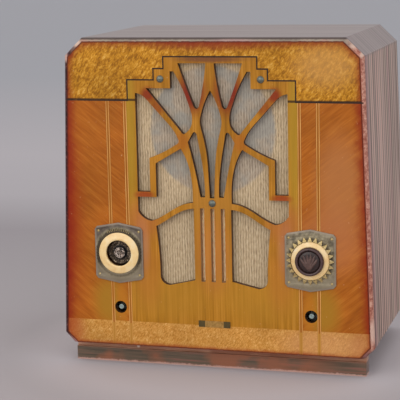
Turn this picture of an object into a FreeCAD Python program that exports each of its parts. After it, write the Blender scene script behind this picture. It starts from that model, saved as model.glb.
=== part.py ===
"""A wooden table radio of the mid 1930s, as an assembly of its separate pieces, in millimetres.

The case stands on a low plinth, leans inwards towards the top and has chamfered corners. Its front is a
veneered board with a pierced fret over a grille cloth. +Z is up, the front faces -Y, and the origin is the
centre of the whole thing's footprint, on the surface that it stands on. Inside this file y = 0 is the front
face of the veneer and y grows towards the open back; `save` moves every piece to the origin's place.
"""
import FreeCAD
import Part
import math
import os

# ---- case ----
case_width_bottom = 405.0
case_width_top = 377.5
case_height = 392.2
case_depth = 251.0
plinth_height = 25.8
top_chamfer = 22.0
bottom_chamfer = 12.0
wall = 8.0
frame_width = 12.0
frame_depth = 17.0
board_thickness = 7.0
veneer_thickness = 1.0
face_rounding = 5.5
plinth_recess = 12.0
plinth_side_recess = 12.5
plinth_rail_recess = 45.0
plinth_thickness = 20.0
plinth_step = 3.0
plinth_step_height = 8.0
plinth_back_gap = 2.0

# ---- lines of the veneered face; rises are above the loudspeaker's centre ----
seam_rise = 36.8
bottom_band_height = 57.5
stringing_width = 1.8
inlay_width = 4.6
inner_inlay_x = 110.9
outer_inlay_x = 133.9
border_steps = [(59.5, 91.3), (72.5, 76.6), (107.0, 62.6)]

# ---- fret, by heights above the loudspeaker's centre ----
slot_width = 5.4
slot_spacing = 13.3
slot_bottom = -190.2
slot_top = -96.7

# ---- cloth, baffle and loudspeaker ----
cloth_half_width = 103.0
cloth_below_speaker = 201.7
cloth_above_speaker = 98.3
cloth_thickness = 0.8
baffle_margin = 1.5
baffle_thickness = 7.0
speaker_clearance = 0.7
bolt_circle = 90.2
bolt_angles = (45, 135, 270)
bolt_holes = 8
bolt_radius = 2.4
bolt_head_radius = 4.6
bolt_head_height = 2.8
bolt_nut_flats = 8.0
bolt_nut_height = 4.0
bolt_spare = 2.0
speaker_radius = 101.6
baffle_hole_radius = 82.0
gasket_thickness = 3.0
gasket_inner_radius = 86.5
basket_sheet = 1.2
basket_mouth_radius = 84.0
basket_neck_radius = 37.3
basket_depth = 43.2
basket_window = (47.0, 75.0, 22.0)
neck_hole_radius = 15.0
cone_edge_radius = 82.9
cone_fold = 3.3
cone_paper = 0.7
cone_depth = 38.0
cone_travel = 1.0
voice_coil_radius = 12.9
voice_coil_wall = 0.7
voice_coil_length = 13.8
air_gap = 0.4
pot_radius = 36.0
pot_wall = 4.0
pot_depth = 34.8
plate_thickness = 6.0
field_coil_start = 2.8

# ---- dials and controls ----
dial_x = 123.6
dial_height = 146.4
escutcheon_half_width = 31.8
escutcheon_side_half_height = 33.0
escutcheon_peak_half_height = 39.0
escutcheon_corner = 3.0
escutcheon_thickness = 1.6
rim_width = 4.0
rim_height = 1.4
left_rim_teeth = 48
right_rim_teeth = 28
tooth_width = 1.6
escutcheon_hole_radius = 18.5
pin_head_radius = 1.5
pin_head_height = 0.7
pin_shank_radius = 0.65
pin_length = 6.0
pin_inset = 5.0
left_ring_radius = 26.4
right_ring_radius = 24.0
ring_inner_radius = 16.6
ring_thickness = 3.0
ring_edge_thickness = 1.4
left_dial_hole = 17.5
right_dial_hole = 9.0
shaft_radius = 3.175
running_gap = 0.05
seat_gap = 0.3
knob_radius = 18.0
knob_front_radius = 17.2
knob_depth = 5.6
knob_face_radius = 13.8
knob_groove = 1.2
knob_ribs = 7
knob_rib_width = 2.0
knob_hub_radius = 7.0
knob_hub_length = 4.0
shaft_stop_back = 3.0
lower_control_x = 123.9
lower_control_drop = 24.4
lower_hole_radius = 8.0
lower_shaft_recess = 2.0
control_radius = 14.0
control_length = 15.0
bushing_radius = 4.76
bushing_length = 9.5
control_nut_flats = 14.0
control_nut_height = 2.5
control_bore_depth = 8.0
switch_wafer_radius = 17.0
switch_wafer_gap = 14.0
switch_pillar_radius = 1.5
bracket_width = 40.0
bracket_margin = 21.6
bracket_foot = 20.0
bracket_y = 40.0

# ---- chassis ----
sheet = 1.2
chassis_side_gap = 5.0
chassis_front = 30.0
chassis_depth = 165.0
deck_height = 100.0
flange_width = 14.0
chassis_bolt_radius = 3.0
chassis_bolt_head_flats = 10.0
chassis_bolt_head_height = 4.0
chassis_bolt_spare = 6.0
chassis_bolt_inset = 25.0
socket_radius = 19.0
socket_thickness = 3.0
socket_hole_radius = 14.0
valve_places = [(-125.0, 165.0), (-65.0, 125.0), (-20.0, 105.0), (30.0, 160.0), (66.0, 92.0)]
capped_valves = 3
base_radius = 16.5
base_height = 25.0
glass_wall = 1.2
bulb_height = 86.0
bulb_crown_radius = 13.0
stem_radius = 3.0
anode_radius = 8.0
anode_foot = 18.0
anode_length = 32.0
mica_radius = 11.5
mica_thickness = 0.8
cap_overlap = 2.0
cap_radius = 4.5
cap_height = 7.0
can_width = 33.0
can_height = 72.0
can_wall = 1.0
can_corner = 4.0
can_hole_radius = 3.0
can_places = [(-62.0, 74.0), (-20.0, 165.0)]
electrolytic_radius = 17.5
electrolytic_height = 76.0
electrolytic_places = [(18.0, 72.0), (66.0, 140.0)]
transformer_place = (125.0, 140.0)
transformer_width = 72.0
transformer_height = 60.0
transformer_stack = 32.0
transformer_leg = 24.0
output_width = 44.0
output_height = 36.0
output_stack = 16.0
output_leg = 14.0
coil_wall = 9.0
terminal_x = -60.0
terminal_width = 50.0
terminal_height = 16.0
terminal_thickness = 3.0
terminal_spacing = 26.0
terminal_radius = 4.0
terminal_length = 8.0
grommet_x = 90.0
grommet_hole_radius = 4.0
grommet_neck_radius = 6.5
grommet_lip_radius = 8.5
grommet_lip = 2.0

# ---- tuning condenser and its slow-motion drive ----
gang_front = 44.0
gang_length = 80.0
gang_plate = 2.0
gang_width = 60.0
gang_margin = 25.6
vane_radius = 22.0
vane_thickness = 0.8
vane_pitch = 4.0
vanes_per_section = 7
section_starts = (52.0, 92.0)
stator_width = 54.0
stator_bottom = 8.0
stator_clearance = 7.0
stator_rod_radius = 1.5
stator_rod_inset = 4.0
rotor_hub_radius = 5.0
rotor_tail = 2.0
drive_length = 42.0
drive_wall = 2.3
drive_boss_radius = 8.0
drive_boss_length = 2.0
drive_ratio = 5.0
drive_end_wall = 2.0
drive_race = (drive_ratio - 1.0) * shaft_radius
drive_balls = 3
carrier_thickness = 2.5
spindle_reach = 7.0

# ---- nameplate ----
nameplate_width = 41.0
nameplate_height = 8.0
nameplate_centre = 59.5
nameplate_thickness = 0.8

# ---- places that follow from the sizes above ----
board_back = veneer_thickness + board_thickness
case_front = board_back + frame_depth
case_top = plinth_height + case_height
floor_top = plinth_height + wall
speaker_height = case_top - frame_width - speaker_clearance - speaker_radius
seam_height = speaker_height + seam_rise
cloth_bottom = speaker_height - cloth_below_speaker
cloth_top = speaker_height + cloth_above_speaker
cloth_back = board_back + cloth_thickness
baffle_back = cloth_back + baffle_thickness
flange_front = baffle_back + gasket_thickness
flange_back = flange_front + basket_sheet
neck_front = flange_front + basket_depth
neck_back = neck_front + basket_sheet
plate_back = neck_back + plate_thickness
pot_back = plate_back + pot_depth + plate_thickness
ring_front = -(escutcheon_thickness + ring_thickness)
knob_back = ring_front - seat_gap
knob_front = knob_back - knob_depth
front_reach = -knob_front
plinth_half_width = case_width_bottom / 2 - plinth_side_recess
chassis_half_width = plinth_half_width - plinth_thickness - chassis_side_gap
chassis_back = chassis_front + chassis_depth
dial_rise = dial_height - deck_height
lower_control_height = deck_height - lower_control_drop
bracket_height = dial_rise + bracket_margin
gang_height = dial_rise + gang_margin
middle_y = (case_depth - front_reach) / 2


def vec(x, y, z):
    return FreeCAD.Vector(x, y, z)


def box(x_near, x_far, y_near, y_far, z_low, z_high):
    """A block between two corners."""
    return Part.makeBox(x_far - x_near, y_far - y_near, z_high - z_low, vec(x_near, y_near, z_low))


def rod(x, z, radius, y_near, y_far):
    """A round bar along Y."""
    return Part.makeCylinder(radius, y_far - y_near, vec(x, y_near, z), vec(0, 1, 0))


def post(x, y, radius, z_low, z_high):
    """A round bar along Z."""
    return Part.makeCylinder(radius, z_high - z_low, vec(x, y, z_low))


def tube(x, z, outer, inner, y_near, y_far):
    """A round tube along Y."""
    return rod(x, z, outer, y_near, y_far).cut(rod(x, z, inner, y_near, y_far))


def prism(outline, y_near, y_far):
    """A flat shape given by its corners (x, z), with its thickness along Y."""
    corners = [vec(x, y_near, z) for x, z in outline]
    face = Part.Face(Part.makePolygon(corners + corners[:1]))
    return face.extrude(vec(0, y_far - y_near, 0))


def drawn(strokes, y_near, y_far, side):
    """A flat shape bounded by strokes, from the loudspeaker's centre: two points are a straight line, more
    points are a smooth curve."""
    edges = []
    for stroke in strokes:
        points = [vec(side * x, y_near, speaker_height + z) for x, z in stroke]
        if len(points) == 2:
            edges.append(Part.makeLine(points[0], points[1]))
        else:
            curve = Part.BSplineCurve()
            curve.interpolate(points)
            edges.append(curve.toShape())
    face = Part.Face(Part.Wire(edges))
    return face.extrude(vec(0, y_far - y_near, 0))


def turned(x, z, profile):
    """A turned piece about an axis along Y, from its half section (radius, y)."""
    corners = [vec(x + radius, y, z) for radius, y in profile]
    face = Part.Face(Part.makePolygon(corners + corners[:1]))
    return face.revolve(vec(x, 0, z), vec(0, 1, 0), 360)


def hexagon(x, z, flats, y_near, y_far):
    """A hexagonal bar along Y, by its width across the flats."""
    radius = flats / math.sqrt(3)
    corners = [(x + radius * math.cos(math.radians(a)), z + radius * math.sin(math.radians(a)))
               for a in range(0, 360, 60)]
    return prism(corners, y_near, y_far)


def mirrored(points):
    """Points of a right half, followed by their mirror images in reverse order."""
    return points + [(-x, z) for x, z in reversed(points) if x > 0]


def half_width(z):
    """Half the case's width at height z: the sides lean inwards."""
    share = (z - plinth_height) / case_height
    return (case_width_bottom + (case_width_top - case_width_bottom) * share) / 2


def case_outline():
    """The case's eight corners, anticlockwise from the right end of the bottom."""
    lower = plinth_height + bottom_chamfer
    upper = case_top - top_chamfer
    right = [(half_width(plinth_height) - bottom_chamfer, plinth_height), (half_width(lower), lower),
             (half_width(upper), upper), (half_width(case_top) - top_chamfer, case_top)]
    return mirrored(right)


def inset(outline, distance):
    """An anticlockwise outline moved inwards by a distance, with its corners mitred."""
    lines = []
    for (x0, z0), (x1, z1) in zip(outline, outline[1:] + outline[:1]):
        length = math.hypot(x1 - x0, z1 - z0)
        nx, nz = -(z1 - z0) / length, (x1 - x0) / length
        lines.append((nx, nz, nx * x0 + nz * z0 + distance))
    corners = []
    for (a0, b0, c0), (a1, b1, c1) in zip(lines[-1:] + lines[:-1], lines):
        det = a0 * b1 - a1 * b0
        corners.append(((c0 * b1 - c1 * b0) / det, (a0 * c1 - a1 * c0) / det))
    return corners


def rounded_front():
    """The block that the board and its veneers fill: its front edges are rounded, but not the bottom one."""
    block = prism(case_outline(), 0.0, board_back)
    front_edges = [edge for edge in block.Edges if edge.BoundBox.YMax < veneer_thickness / 2
                   and edge.BoundBox.ZMax > plinth_height + bottom_chamfer / 2]
    return block.makeFillet(face_rounding, front_edges)


def case_walls(thickness, y_near, y_far):
    """Eight mitred boards round the case, anticlockwise from the lower right corner's."""
    outer = case_outline()
    inner = inset(outer, thickness)
    walls = []
    for k in range(len(outer)):
        n = (k + 1) % len(outer)
        walls.append(prism([outer[k], outer[n], inner[n], inner[k]], y_near, y_far))
    return walls


def bolt_places(angles):
    """Places on the loudspeaker's bolt circle."""
    return [(bolt_circle * math.cos(math.radians(a)), speaker_height + bolt_circle * math.sin(math.radians(a)))
            for a in angles]


def pin_places(side):
    """The four nails of one escutcheon."""
    dx = escutcheon_half_width - pin_inset
    dz = escutcheon_side_half_height - pin_inset
    return [(side * dial_x + sx * dx, dial_height + sz * dz) for sx in (-1, 1) for sz in (-1, 1)]


# ---- fret ----
def fret_openings(y_near, y_far):
    """Every opening of the pierced fret, as bars that cut it out."""
    top_wedge = [
        [(5.2, 83.3), (41.0, 83.3)],
        [(41.0, 83.3), (31.0, 54.8), (21.6, 30.3)],
        [(21.6, 30.3), (18.0, 27.1), (14.6, 30.3)],
        [(14.6, 30.3), (9.2, 54.3), (5.2, 83.3)],
    ]
    upper_side = [
        [(51.2, 73.3), (51.2, 52.3)],
        [(51.2, 52.3), (82.8, 52.3)],
        [(82.8, 52.3), (66.0, 31.8), (51.0, 13.8), (38.6, -1.2)],
        [(38.6, -1.2), (35.3, -4.3), (31.6, -2.2)],
        [(31.6, -2.2), (24.9, 6.3), (23.6, 16.3), (27.3, 31.3), (34.4, 50.3), (46.4, 73.3)],
        [(46.4, 73.3), (51.2, 73.3)],
    ]
    tall_side = [
        [(97.0, -77.7), (97.0, 46.3)],
        [(97.0, 46.3), (87.5, 43.1), (79.5, 35.6), (60.0, 14.1), (46.4, -2.2), (42.6, -9.7)],
        [(42.6, -9.7), (41.7, -14.2), (45.5, -17.7)],
        [(45.5, -17.7), (62.0, -27.2), (80.2, -34.9)],
        [(80.2, -34.9), (80.2, -77.7)],
        [(80.2, -77.7), (97.0, -77.7)],
    ]
    elbow_side = [
        [(39.3, -22.4), (72.5, -41.7)],
        [(72.5, -41.7), (72.5, -84.2)],
        [(72.5, -84.2), (97.0, -84.2)],
        [(97.0, -84.2), (97.0, -103.2)],
        [(97.0, -103.2), (93.0, -108.4), (86.5, -112.9), (79.5, -114.7)],
        [(79.5, -114.7), (65.0, -108.1), (46.0, -96.5), (25.0, -90.2)],
        [(25.0, -90.2), (25.2, -68.7), (29.5, -43.7), (39.3, -22.4)],
    ]
    slim = [
        [(18.3, -3.7), (21.2, -1.4), (24.0, -3.7)],
        [(24.0, -3.7), (30.0, -14.2)],
        [(30.0, -14.2), (25.5, -31.2), (20.5, -53.7), (15.0, -82.7)],
        [(15.0, -82.7), (9.0, -82.7)],
        [(9.0, -82.7), (10.2, -53.7), (13.8, -28.7), (18.3, -3.7)],
    ]
    lower_side = [
        [(24.0, -97.5), (42.0, -102.2), (58.0, -111.9), (73.8, -121.2)],
        [(73.8, -121.2), (71.5, -141.7), (70.0, -163.7), (69.6, -181.7)],
        [(69.6, -181.7), (67.0, -192.2), (58.0, -196.5)],
        [(58.0, -196.5), (41.0, -192.7), (24.0, -188.7)],
        [(24.0, -188.7), (24.0, -97.5)],
    ]
    lens_right = [(0.0, 50.3), (6.5, 37.8), (12.2, 21.3), (13.9, 10.8), (11.8, -0.7),
                  (7.0, -22.7), (4.1, -55.7), (3.0, -83.7)]
    lens_left = [(-x, z) for x, z in reversed(lens_right)]
    lens = [lens_right, [lens_right[-1], lens_left[0]], lens_left]
    openings = [drawn(lens, y_near, y_far, 1)]
    for side in (-1, 1):
        for strokes in (top_wedge, upper_side, tall_side, elbow_side, slim, lower_side):
            openings.append(drawn(strokes, y_near, y_far, side))
    for x in (-slot_spacing, 0.0, slot_spacing):
        openings.append(box(x - slot_width / 2, x + slot_width / 2, y_near, y_far,
                            speaker_height + slot_bottom, speaker_height + slot_top))
    return openings


def face_holes(y_near, y_far):
    """Round holes through the board and the veneer: dials, shafts, bolts and nails."""
    holes = [rod(-dial_x, dial_height, left_dial_hole, y_near, y_far),
             rod(dial_x, dial_height, right_dial_hole, y_near, y_far)]
    for side in (-1, 1):
        holes.append(rod(side * lower_control_x, lower_control_height, lower_hole_radius, y_near, y_far))
    for x, z in bolt_places(bolt_angles):
        holes.append(rod(x, z, bolt_radius + seat_gap, y_near, y_far))
    for side in (-1, 1):
        for x, z in pin_places(side):
            holes.append(rod(x, z, pin_shank_radius + running_gap, y_near, y_far))
    return holes


def border_zone(grow):
    """The face below the stepped border and the seam, with that line moved outwards."""
    far = case_width_bottom
    right = []
    for k, (x, rise) in enumerate(border_steps):
        right.append((x + grow, speaker_height + rise + grow))
        floor = border_steps[k + 1][1] if k + 1 < len(border_steps) else seam_rise
        right.append((x + grow, speaker_height + floor + grow))
    right += [(far, seam_height + grow), (far, 0.0)]
    corners = list(reversed(right)) + [(-x, z) for x, z in right]
    return prism(corners, 0.0, veneer_thickness)


def front():
    """The board, its five veneers, the inlaid lines and the nameplate."""
    far = case_width_bottom
    outline = case_outline()
    openings = Part.makeCompound(fret_openings(-1.0, board_back + 1.0))
    holes = face_holes(-1.0, board_back + 1.0)
    rounded = rounded_front()
    board = rounded.common(prism(outline, veneer_thickness, board_back)).cut(openings).cut(holes)

    face = rounded.common(prism(outline, 0.0, veneer_thickness))
    outer_zone = border_zone(stringing_width / 2)
    inner_zone = border_zone(-stringing_width / 2)
    strips = []
    for side in (-1, 1):
        for x in (inner_inlay_x, outer_inlay_x):
            low, high = sorted((side * (x - inlay_width / 2), side * (x + inlay_width / 2)))
            strips.append(box(low, high, 0.0, veneer_thickness, plinth_height,
                              seam_height - stringing_width / 2))
    inner_edge = inner_inlay_x - inlay_width / 2
    below = box(-far, far, 0.0, veneer_thickness, 0.0, bottom_band_height)
    middle = box(-inner_edge, inner_edge, 0.0, veneer_thickness, bottom_band_height, case_top)

    top_band = face.cut(outer_zone).cut(openings).cut(holes)
    stringing = outer_zone.cut(inner_zone).common(face)
    lower_face = face.common(inner_zone)
    centre = lower_face.common(middle).cut(openings).cut(holes)
    sides = lower_face.cut(middle).cut(below).cut(strips).cut(holes)
    bottom = lower_face.common(below).cut(strips)
    inlays = Part.makeCompound([strip.common(face).cut(holes) for strip in strips])

    plate = box(-nameplate_width / 2, nameplate_width / 2, -nameplate_thickness, 0.0,
                nameplate_centre - nameplate_height / 2, nameplate_centre + nameplate_height / 2)
    return {
        "front_board": board,
        "veneer_top_band": top_band,
        "veneer_centre_panel": centre,
        "veneer_side_fields": sides,
        "veneer_bottom_band": bottom,
        "border_stringing": stringing,
        "inlay_strips": inlays,
        "nameplate": plate,
    }


# ---- case and plinth ----
def case():
    """The frame behind the board, the case's walls and the plinth's rails."""
    frame = case_walls(frame_width, board_back, case_front)
    walls = case_walls(wall, case_front, case_depth)
    low_right, right, top_right, top, top_left, left, low_left, bottom = walls
    for x, y in chassis_bolt_places():
        bottom = bottom.cut(post(x, y, chassis_bolt_radius + seat_gap, 0.0, floor_top + 1.0))

    rail_back = case_depth - plinth_back_gap
    rail_front = plinth_recess + plinth_thickness
    section = [(plinth_recess, 0.0), (rail_front, 0.0), (rail_front, plinth_height),
               (plinth_recess + plinth_step, plinth_height),
               (plinth_recess + plinth_step, plinth_height - plinth_step_height),
               (plinth_recess, plinth_height - plinth_step_height)]
    corners = [vec(-plinth_half_width, y, z) for y, z in section]
    front_rail = Part.Face(Part.makePolygon(corners + corners[:1])).extrude(vec(2 * plinth_half_width, 0, 0))
    outer_x = plinth_half_width - plinth_rail_recess
    inner_x = outer_x - plinth_thickness
    left_rail = box(-outer_x, -inner_x, rail_front, rail_back, 0.0, plinth_height)
    right_rail = box(inner_x, outer_x, rail_front, rail_back, 0.0, plinth_height)
    back_rail = box(-inner_x, inner_x, rail_back - plinth_thickness, rail_back, 0.0, plinth_height)
    return {
        "front_frame": Part.makeCompound(frame),
        "cabinet_left_side": left,
        "cabinet_right_side": right,
        "cabinet_top": top,
        "cabinet_bottom": bottom,
        "cabinet_corners": Part.makeCompound([low_right, top_right, top_left, low_left]),
        "plinth_front": front_rail,
        "plinth_rails": Part.makeCompound([left_rail, right_rail, back_rail]),
    }


# ---- loudspeaker ----
def speaker():
    """The grille cloth, the baffle and the loudspeaker bolted through them."""
    bolts = bolt_places(bolt_angles)
    shank_holes = [rod(x, z, bolt_radius + seat_gap, 0.0, flange_back + 1.0) for x, z in bolts]
    all_holes = [rod(x, z, bolt_radius + seat_gap, 0.0, flange_back + 1.0)
                 for x, z in bolt_places(range(0, 360, 360 // bolt_holes))]
    cloth = box(-cloth_half_width, cloth_half_width, board_back, cloth_back, cloth_bottom, cloth_top)
    baffle = box(-cloth_half_width - baffle_margin, cloth_half_width + baffle_margin, cloth_back,
                 baffle_back, cloth_bottom - baffle_margin, cloth_top + baffle_margin)
    baffle = baffle.cut(rod(0.0, speaker_height, baffle_hole_radius, 0.0, baffle_back + 1.0))
    gasket = tube(0.0, speaker_height, speaker_radius, gasket_inner_radius, baffle_back, flange_front)

    basket = turned(0.0, speaker_height, [
        (basket_mouth_radius, flange_front), (speaker_radius, flange_front), (speaker_radius, flange_back),
        (basket_mouth_radius + basket_sheet, flange_back), (basket_neck_radius + basket_sheet, neck_front),
        (basket_neck_radius + basket_sheet, neck_back), (neck_hole_radius, neck_back),
        (neck_hole_radius, neck_front), (basket_neck_radius, neck_front)])
    near, far, across = basket_window
    windows = []
    for k in range(bolt_holes):
        window = box(near, far, flange_back, neck_front, speaker_height - across / 2,
                     speaker_height + across / 2)
        window.rotate(vec(0, 0, speaker_height), vec(0, 1, 0), (k + 0.5) * 360 / bolt_holes)
        windows.append(window)
    basket = basket.cut(windows).cut(all_holes)

    rim_front = flange_front - cone_travel - cone_paper + 0.2
    rim_back = rim_front + cone_paper
    fold_radius = cone_edge_radius - cone_fold
    coil_outer = voice_coil_radius + voice_coil_wall
    neck = rim_back + cone_depth
    cone = turned(0.0, speaker_height, [
        (0.0, neck - 6.2), (coil_outer - 2.6, neck - 3.7), (coil_outer - 0.2, neck - 1.0),
        (fold_radius - cone_paper / 2, rim_front), (cone_edge_radius, rim_front), (cone_edge_radius, rim_back),
        (fold_radius, rim_back), (coil_outer + 0.1, neck), (voice_coil_radius - 0.2, neck),
        (coil_outer - 3.0, neck - 2.8), (0.0, neck - 5.4)])
    voice_coil = tube(0.0, speaker_height, coil_outer, voice_coil_radius, neck, neck + voice_coil_length)

    pole_radius = voice_coil_radius - air_gap
    gap_radius = coil_outer + air_gap
    front_plate = tube(0.0, speaker_height, pot_radius, gap_radius, neck_back, plate_back)
    cup_floor = plate_back + pot_depth
    cup = turned(0.0, speaker_height, [
        (0.0, neck_back + seat_gap), (pole_radius, neck_back + seat_gap), (pole_radius, cup_floor),
        (pot_radius - pot_wall, cup_floor), (pot_radius - pot_wall, plate_back), (pot_radius, plate_back),
        (pot_radius, pot_back), (0.0, pot_back)])
    field_coil = tube(0.0, speaker_height, pot_radius - pot_wall - seat_gap, gap_radius + seat_gap,
                      plate_back + field_coil_start, cup_floor)

    core, coil = transformer(output_width, output_height, output_stack, output_leg)
    for piece in (core, coil):
        piece.rotate(vec(0, 0, 0), vec(1, 0, 0), -90)
        piece.translate(vec(0, pot_back, speaker_height))
    tail = flange_back + bolt_nut_height + bolt_spare
    bolt_set = []
    nut_set = []
    for x, z in bolts:
        head = turned(x, z, [(0.0, -bolt_head_height), (bolt_head_radius * 0.55, -bolt_head_height * 0.85),
                             (bolt_head_radius * 0.9, -bolt_head_height * 0.4), (bolt_head_radius, 0.0),
                             (0.0, 0.0)])
        slot = box(x - bolt_head_radius, x + bolt_head_radius, -bolt_head_height, -bolt_head_height * 0.55,
                   z - 0.5, z + 0.5)
        bolt_set.append(head.cut(slot).fuse(rod(x, z, bolt_radius, 0.0, tail)))
        nut = hexagon(x, z, bolt_nut_flats, flange_back, flange_back + bolt_nut_height)
        nut_set.append(nut.cut(rod(x, z, bolt_radius + running_gap, 0.0, tail)))
    return {
        "grille_cloth": cloth.cut(shank_holes),
        "speaker_baffle": baffle.cut(shank_holes),
        "speaker_gasket": gasket.cut(all_holes),
        "speaker_basket": basket,
        "speaker_cone": cone,
        "voice_coil": voice_coil,
        "field_pot": Part.makeCompound([front_plate, cup]),
        "field_coil": field_coil,
        "output_transformer_core": core,
        "output_transformer_coil": coil,
        "speaker_bolts": Part.makeCompound(bolt_set),
        "speaker_nuts": Part.makeCompound(nut_set),
    }


def transformer(width, height, stack, leg):
    """A shell core standing on z = 0 with its middle leg upright, and the winding round that leg."""
    yoke = leg / 2
    window = (width - leg) / 2 - yoke
    core = box(-width / 2, width / 2, -stack / 2, stack / 2, 0.0, height)
    for side in (-1, 1):
        low, high = sorted((side * leg / 2, side * (leg / 2 + window)))
        core = core.cut(box(low, high, -stack, stack, yoke, height - yoke))
    reach = leg / 2 + window - seat_gap
    depth = stack / 2 + coil_wall
    coil = box(-reach, reach, -depth, depth, yoke + seat_gap, height - yoke - seat_gap)
    coil = coil.cut(box(-leg / 2 - seat_gap, leg / 2 + seat_gap, -stack / 2 - seat_gap,
                        stack / 2 + seat_gap, 0.0, height))
    return core, coil


# ---- dials ----
def escutcheon(side, ring_radius, rim_teeth):
    """A pressed plate with shallow peaks above and below and a toothed rim round its ring."""
    w, s, p, c = (escutcheon_half_width, escutcheon_side_half_height, escutcheon_peak_half_height,
                  escutcheon_corner)
    right = [(0.0, -p), (w - c, -s - c / 4), (w, -s + c), (w, s - c), (w - c, s + c / 4), (0.0, p)]
    outline = [(side * dial_x + x, dial_height + z) for x, z in mirrored(right)]
    plate = prism(outline, -escutcheon_thickness, 0.0)
    x = side * dial_x
    inner = ring_radius + seat_gap
    outer = inner + rim_width
    rim = tube(x, dial_height, inner + rim_width / 2, inner, -escutcheon_thickness - rim_height,
               -escutcheon_thickness)
    plate = plate.fuse(rim)
    teeth = []
    for k in range(rim_teeth):
        tooth = box(x + inner + rim_width / 4, x + outer, -escutcheon_thickness - rim_height * 0.8,
                    -escutcheon_thickness, dial_height - tooth_width / 2, dial_height + tooth_width / 2)
        tooth.rotate(vec(x, 0, dial_height), vec(0, 1, 0), k * 360 / rim_teeth)
        teeth.append(tooth)
    plate = plate.fuse(teeth).removeSplitter()
    plate = plate.cut(rod(x, dial_height, escutcheon_hole_radius, -escutcheon_thickness * 4, 1.0))
    nails = [rod(px, pz, pin_shank_radius + running_gap, -escutcheon_thickness * 4, 1.0)
             for px, pz in pin_places(side)]
    return plate.cut(nails)


def dial_ring(side, radius):
    """A moulded ring that slopes down to its outer edge."""
    back = -escutcheon_thickness
    edge = back - ring_edge_thickness
    crown = ring_inner_radius + (radius - ring_inner_radius) * 0.3
    return turned(side * dial_x, dial_height, [
        (ring_inner_radius, back), (ring_inner_radius, ring_front + 0.5), (ring_inner_radius + 0.6, ring_front),
        (crown, ring_front), (radius, edge), (radius, back)])


def knob():
    """The moulded knob: a round body, a groove round a ribbed face, a pointer notch and a hub behind."""
    x, z = dial_x, dial_height
    face_back = knob_front + knob_groove
    body = turned(x, z, [
        (0.0, knob_front), (knob_face_radius - 1.0, knob_front), (knob_face_radius, face_back),
        (knob_face_radius + 0.8, face_back), (knob_front_radius - 1.0, knob_front + 0.6),
        (knob_front_radius, face_back), (knob_radius, knob_back - 1.0), (knob_radius - 0.6, knob_back),
        (knob_hub_radius, knob_back), (knob_hub_radius, knob_back + knob_hub_length),
        (0.0, knob_back + knob_hub_length)])
    grooves = []
    spread = 2 * knob_face_radius / knob_ribs
    for k in range(knob_ribs):
        offset = (k - (knob_ribs - 1) / 2) * spread
        reach = math.sqrt(knob_face_radius ** 2 - offset ** 2) - 2.0
        groove = box(x + offset - knob_rib_width / 2, x + offset + knob_rib_width / 2, knob_front - 1.0,
                     knob_front + knob_groove * 0.7, z - reach, z + reach * 0.8)
        grooves.append(groove)
    notch = box(x - 0.9, x + 0.9, knob_front - 1.0, face_back + 0.8, z + knob_face_radius + 0.6,
                z + knob_radius + 1.0)
    bore = rod(x, z, shaft_radius + running_gap, knob_front + shaft_stop_back, 1.0)
    return body.cut(grooves).cut(notch).cut(bore)


def dials():
    """Escutcheons, their nails, the two ivory rings and the knob."""
    pins = []
    for side in (-1, 1):
        for x, z in pin_places(side):
            front = -escutcheon_thickness
            head = turned(x, z, [(0.0, front - pin_head_height), (pin_head_radius * 0.7, front - 0.5),
                                 (pin_head_radius, front), (0.0, front)])
            pins.append(head.fuse(rod(x, z, pin_shank_radius, front, front + pin_length)))
    return {
        "left_escutcheon": escutcheon(-1, left_ring_radius, left_rim_teeth),
        "right_escutcheon": escutcheon(1, right_ring_radius, right_rim_teeth),
        "escutcheon_pins": Part.makeCompound(pins),
        "left_dial_ring": dial_ring(-1, left_ring_radius),
        "right_dial_ring": dial_ring(1, right_ring_radius),
        "volume_knob": knob(),
    }


# ---- controls ----
def control(x, z, panel):
    """A potentiometer's can behind a panel, with its bushing through it."""
    body = rod(x, z, control_radius, panel, panel + control_length)
    body = body.fuse(rod(x, z, bushing_radius, panel - bushing_length, panel))
    return body.cut(rod(x, z, shaft_radius + running_gap, panel - bushing_length - 1.0,
                        panel + control_bore_depth))


def band_switch(x, z, panel):
    """A rotary switch: a front plate with its bushing, two pillars and the wafer."""
    plate = box(x - control_radius, x + control_radius, panel, panel + sheet, z - control_radius,
                z + control_radius)
    wafer_front = panel + sheet + switch_wafer_gap
    wafer = rod(x, z, switch_wafer_radius, wafer_front, wafer_front + 2 * sheet)
    pieces = [rod(x, z, bushing_radius, panel - bushing_length, panel), wafer]
    for side in (-1, 1):
        pieces.append(rod(x + side * (control_radius - 2 * switch_pillar_radius), z, switch_pillar_radius,
                          panel + sheet, wafer_front))
    body = plate.fuse(pieces)
    return body.cut(rod(x, z, shaft_radius + running_gap, panel - bushing_length - 1.0,
                        wafer_front + 3 * sheet))


def control_nut(x, z, panel_front):
    nut = hexagon(x, z, control_nut_flats, panel_front - control_nut_height, panel_front)
    return nut.cut(rod(x, z, bushing_radius + running_gap, panel_front - 2 * bushing_length, panel_front))


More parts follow.
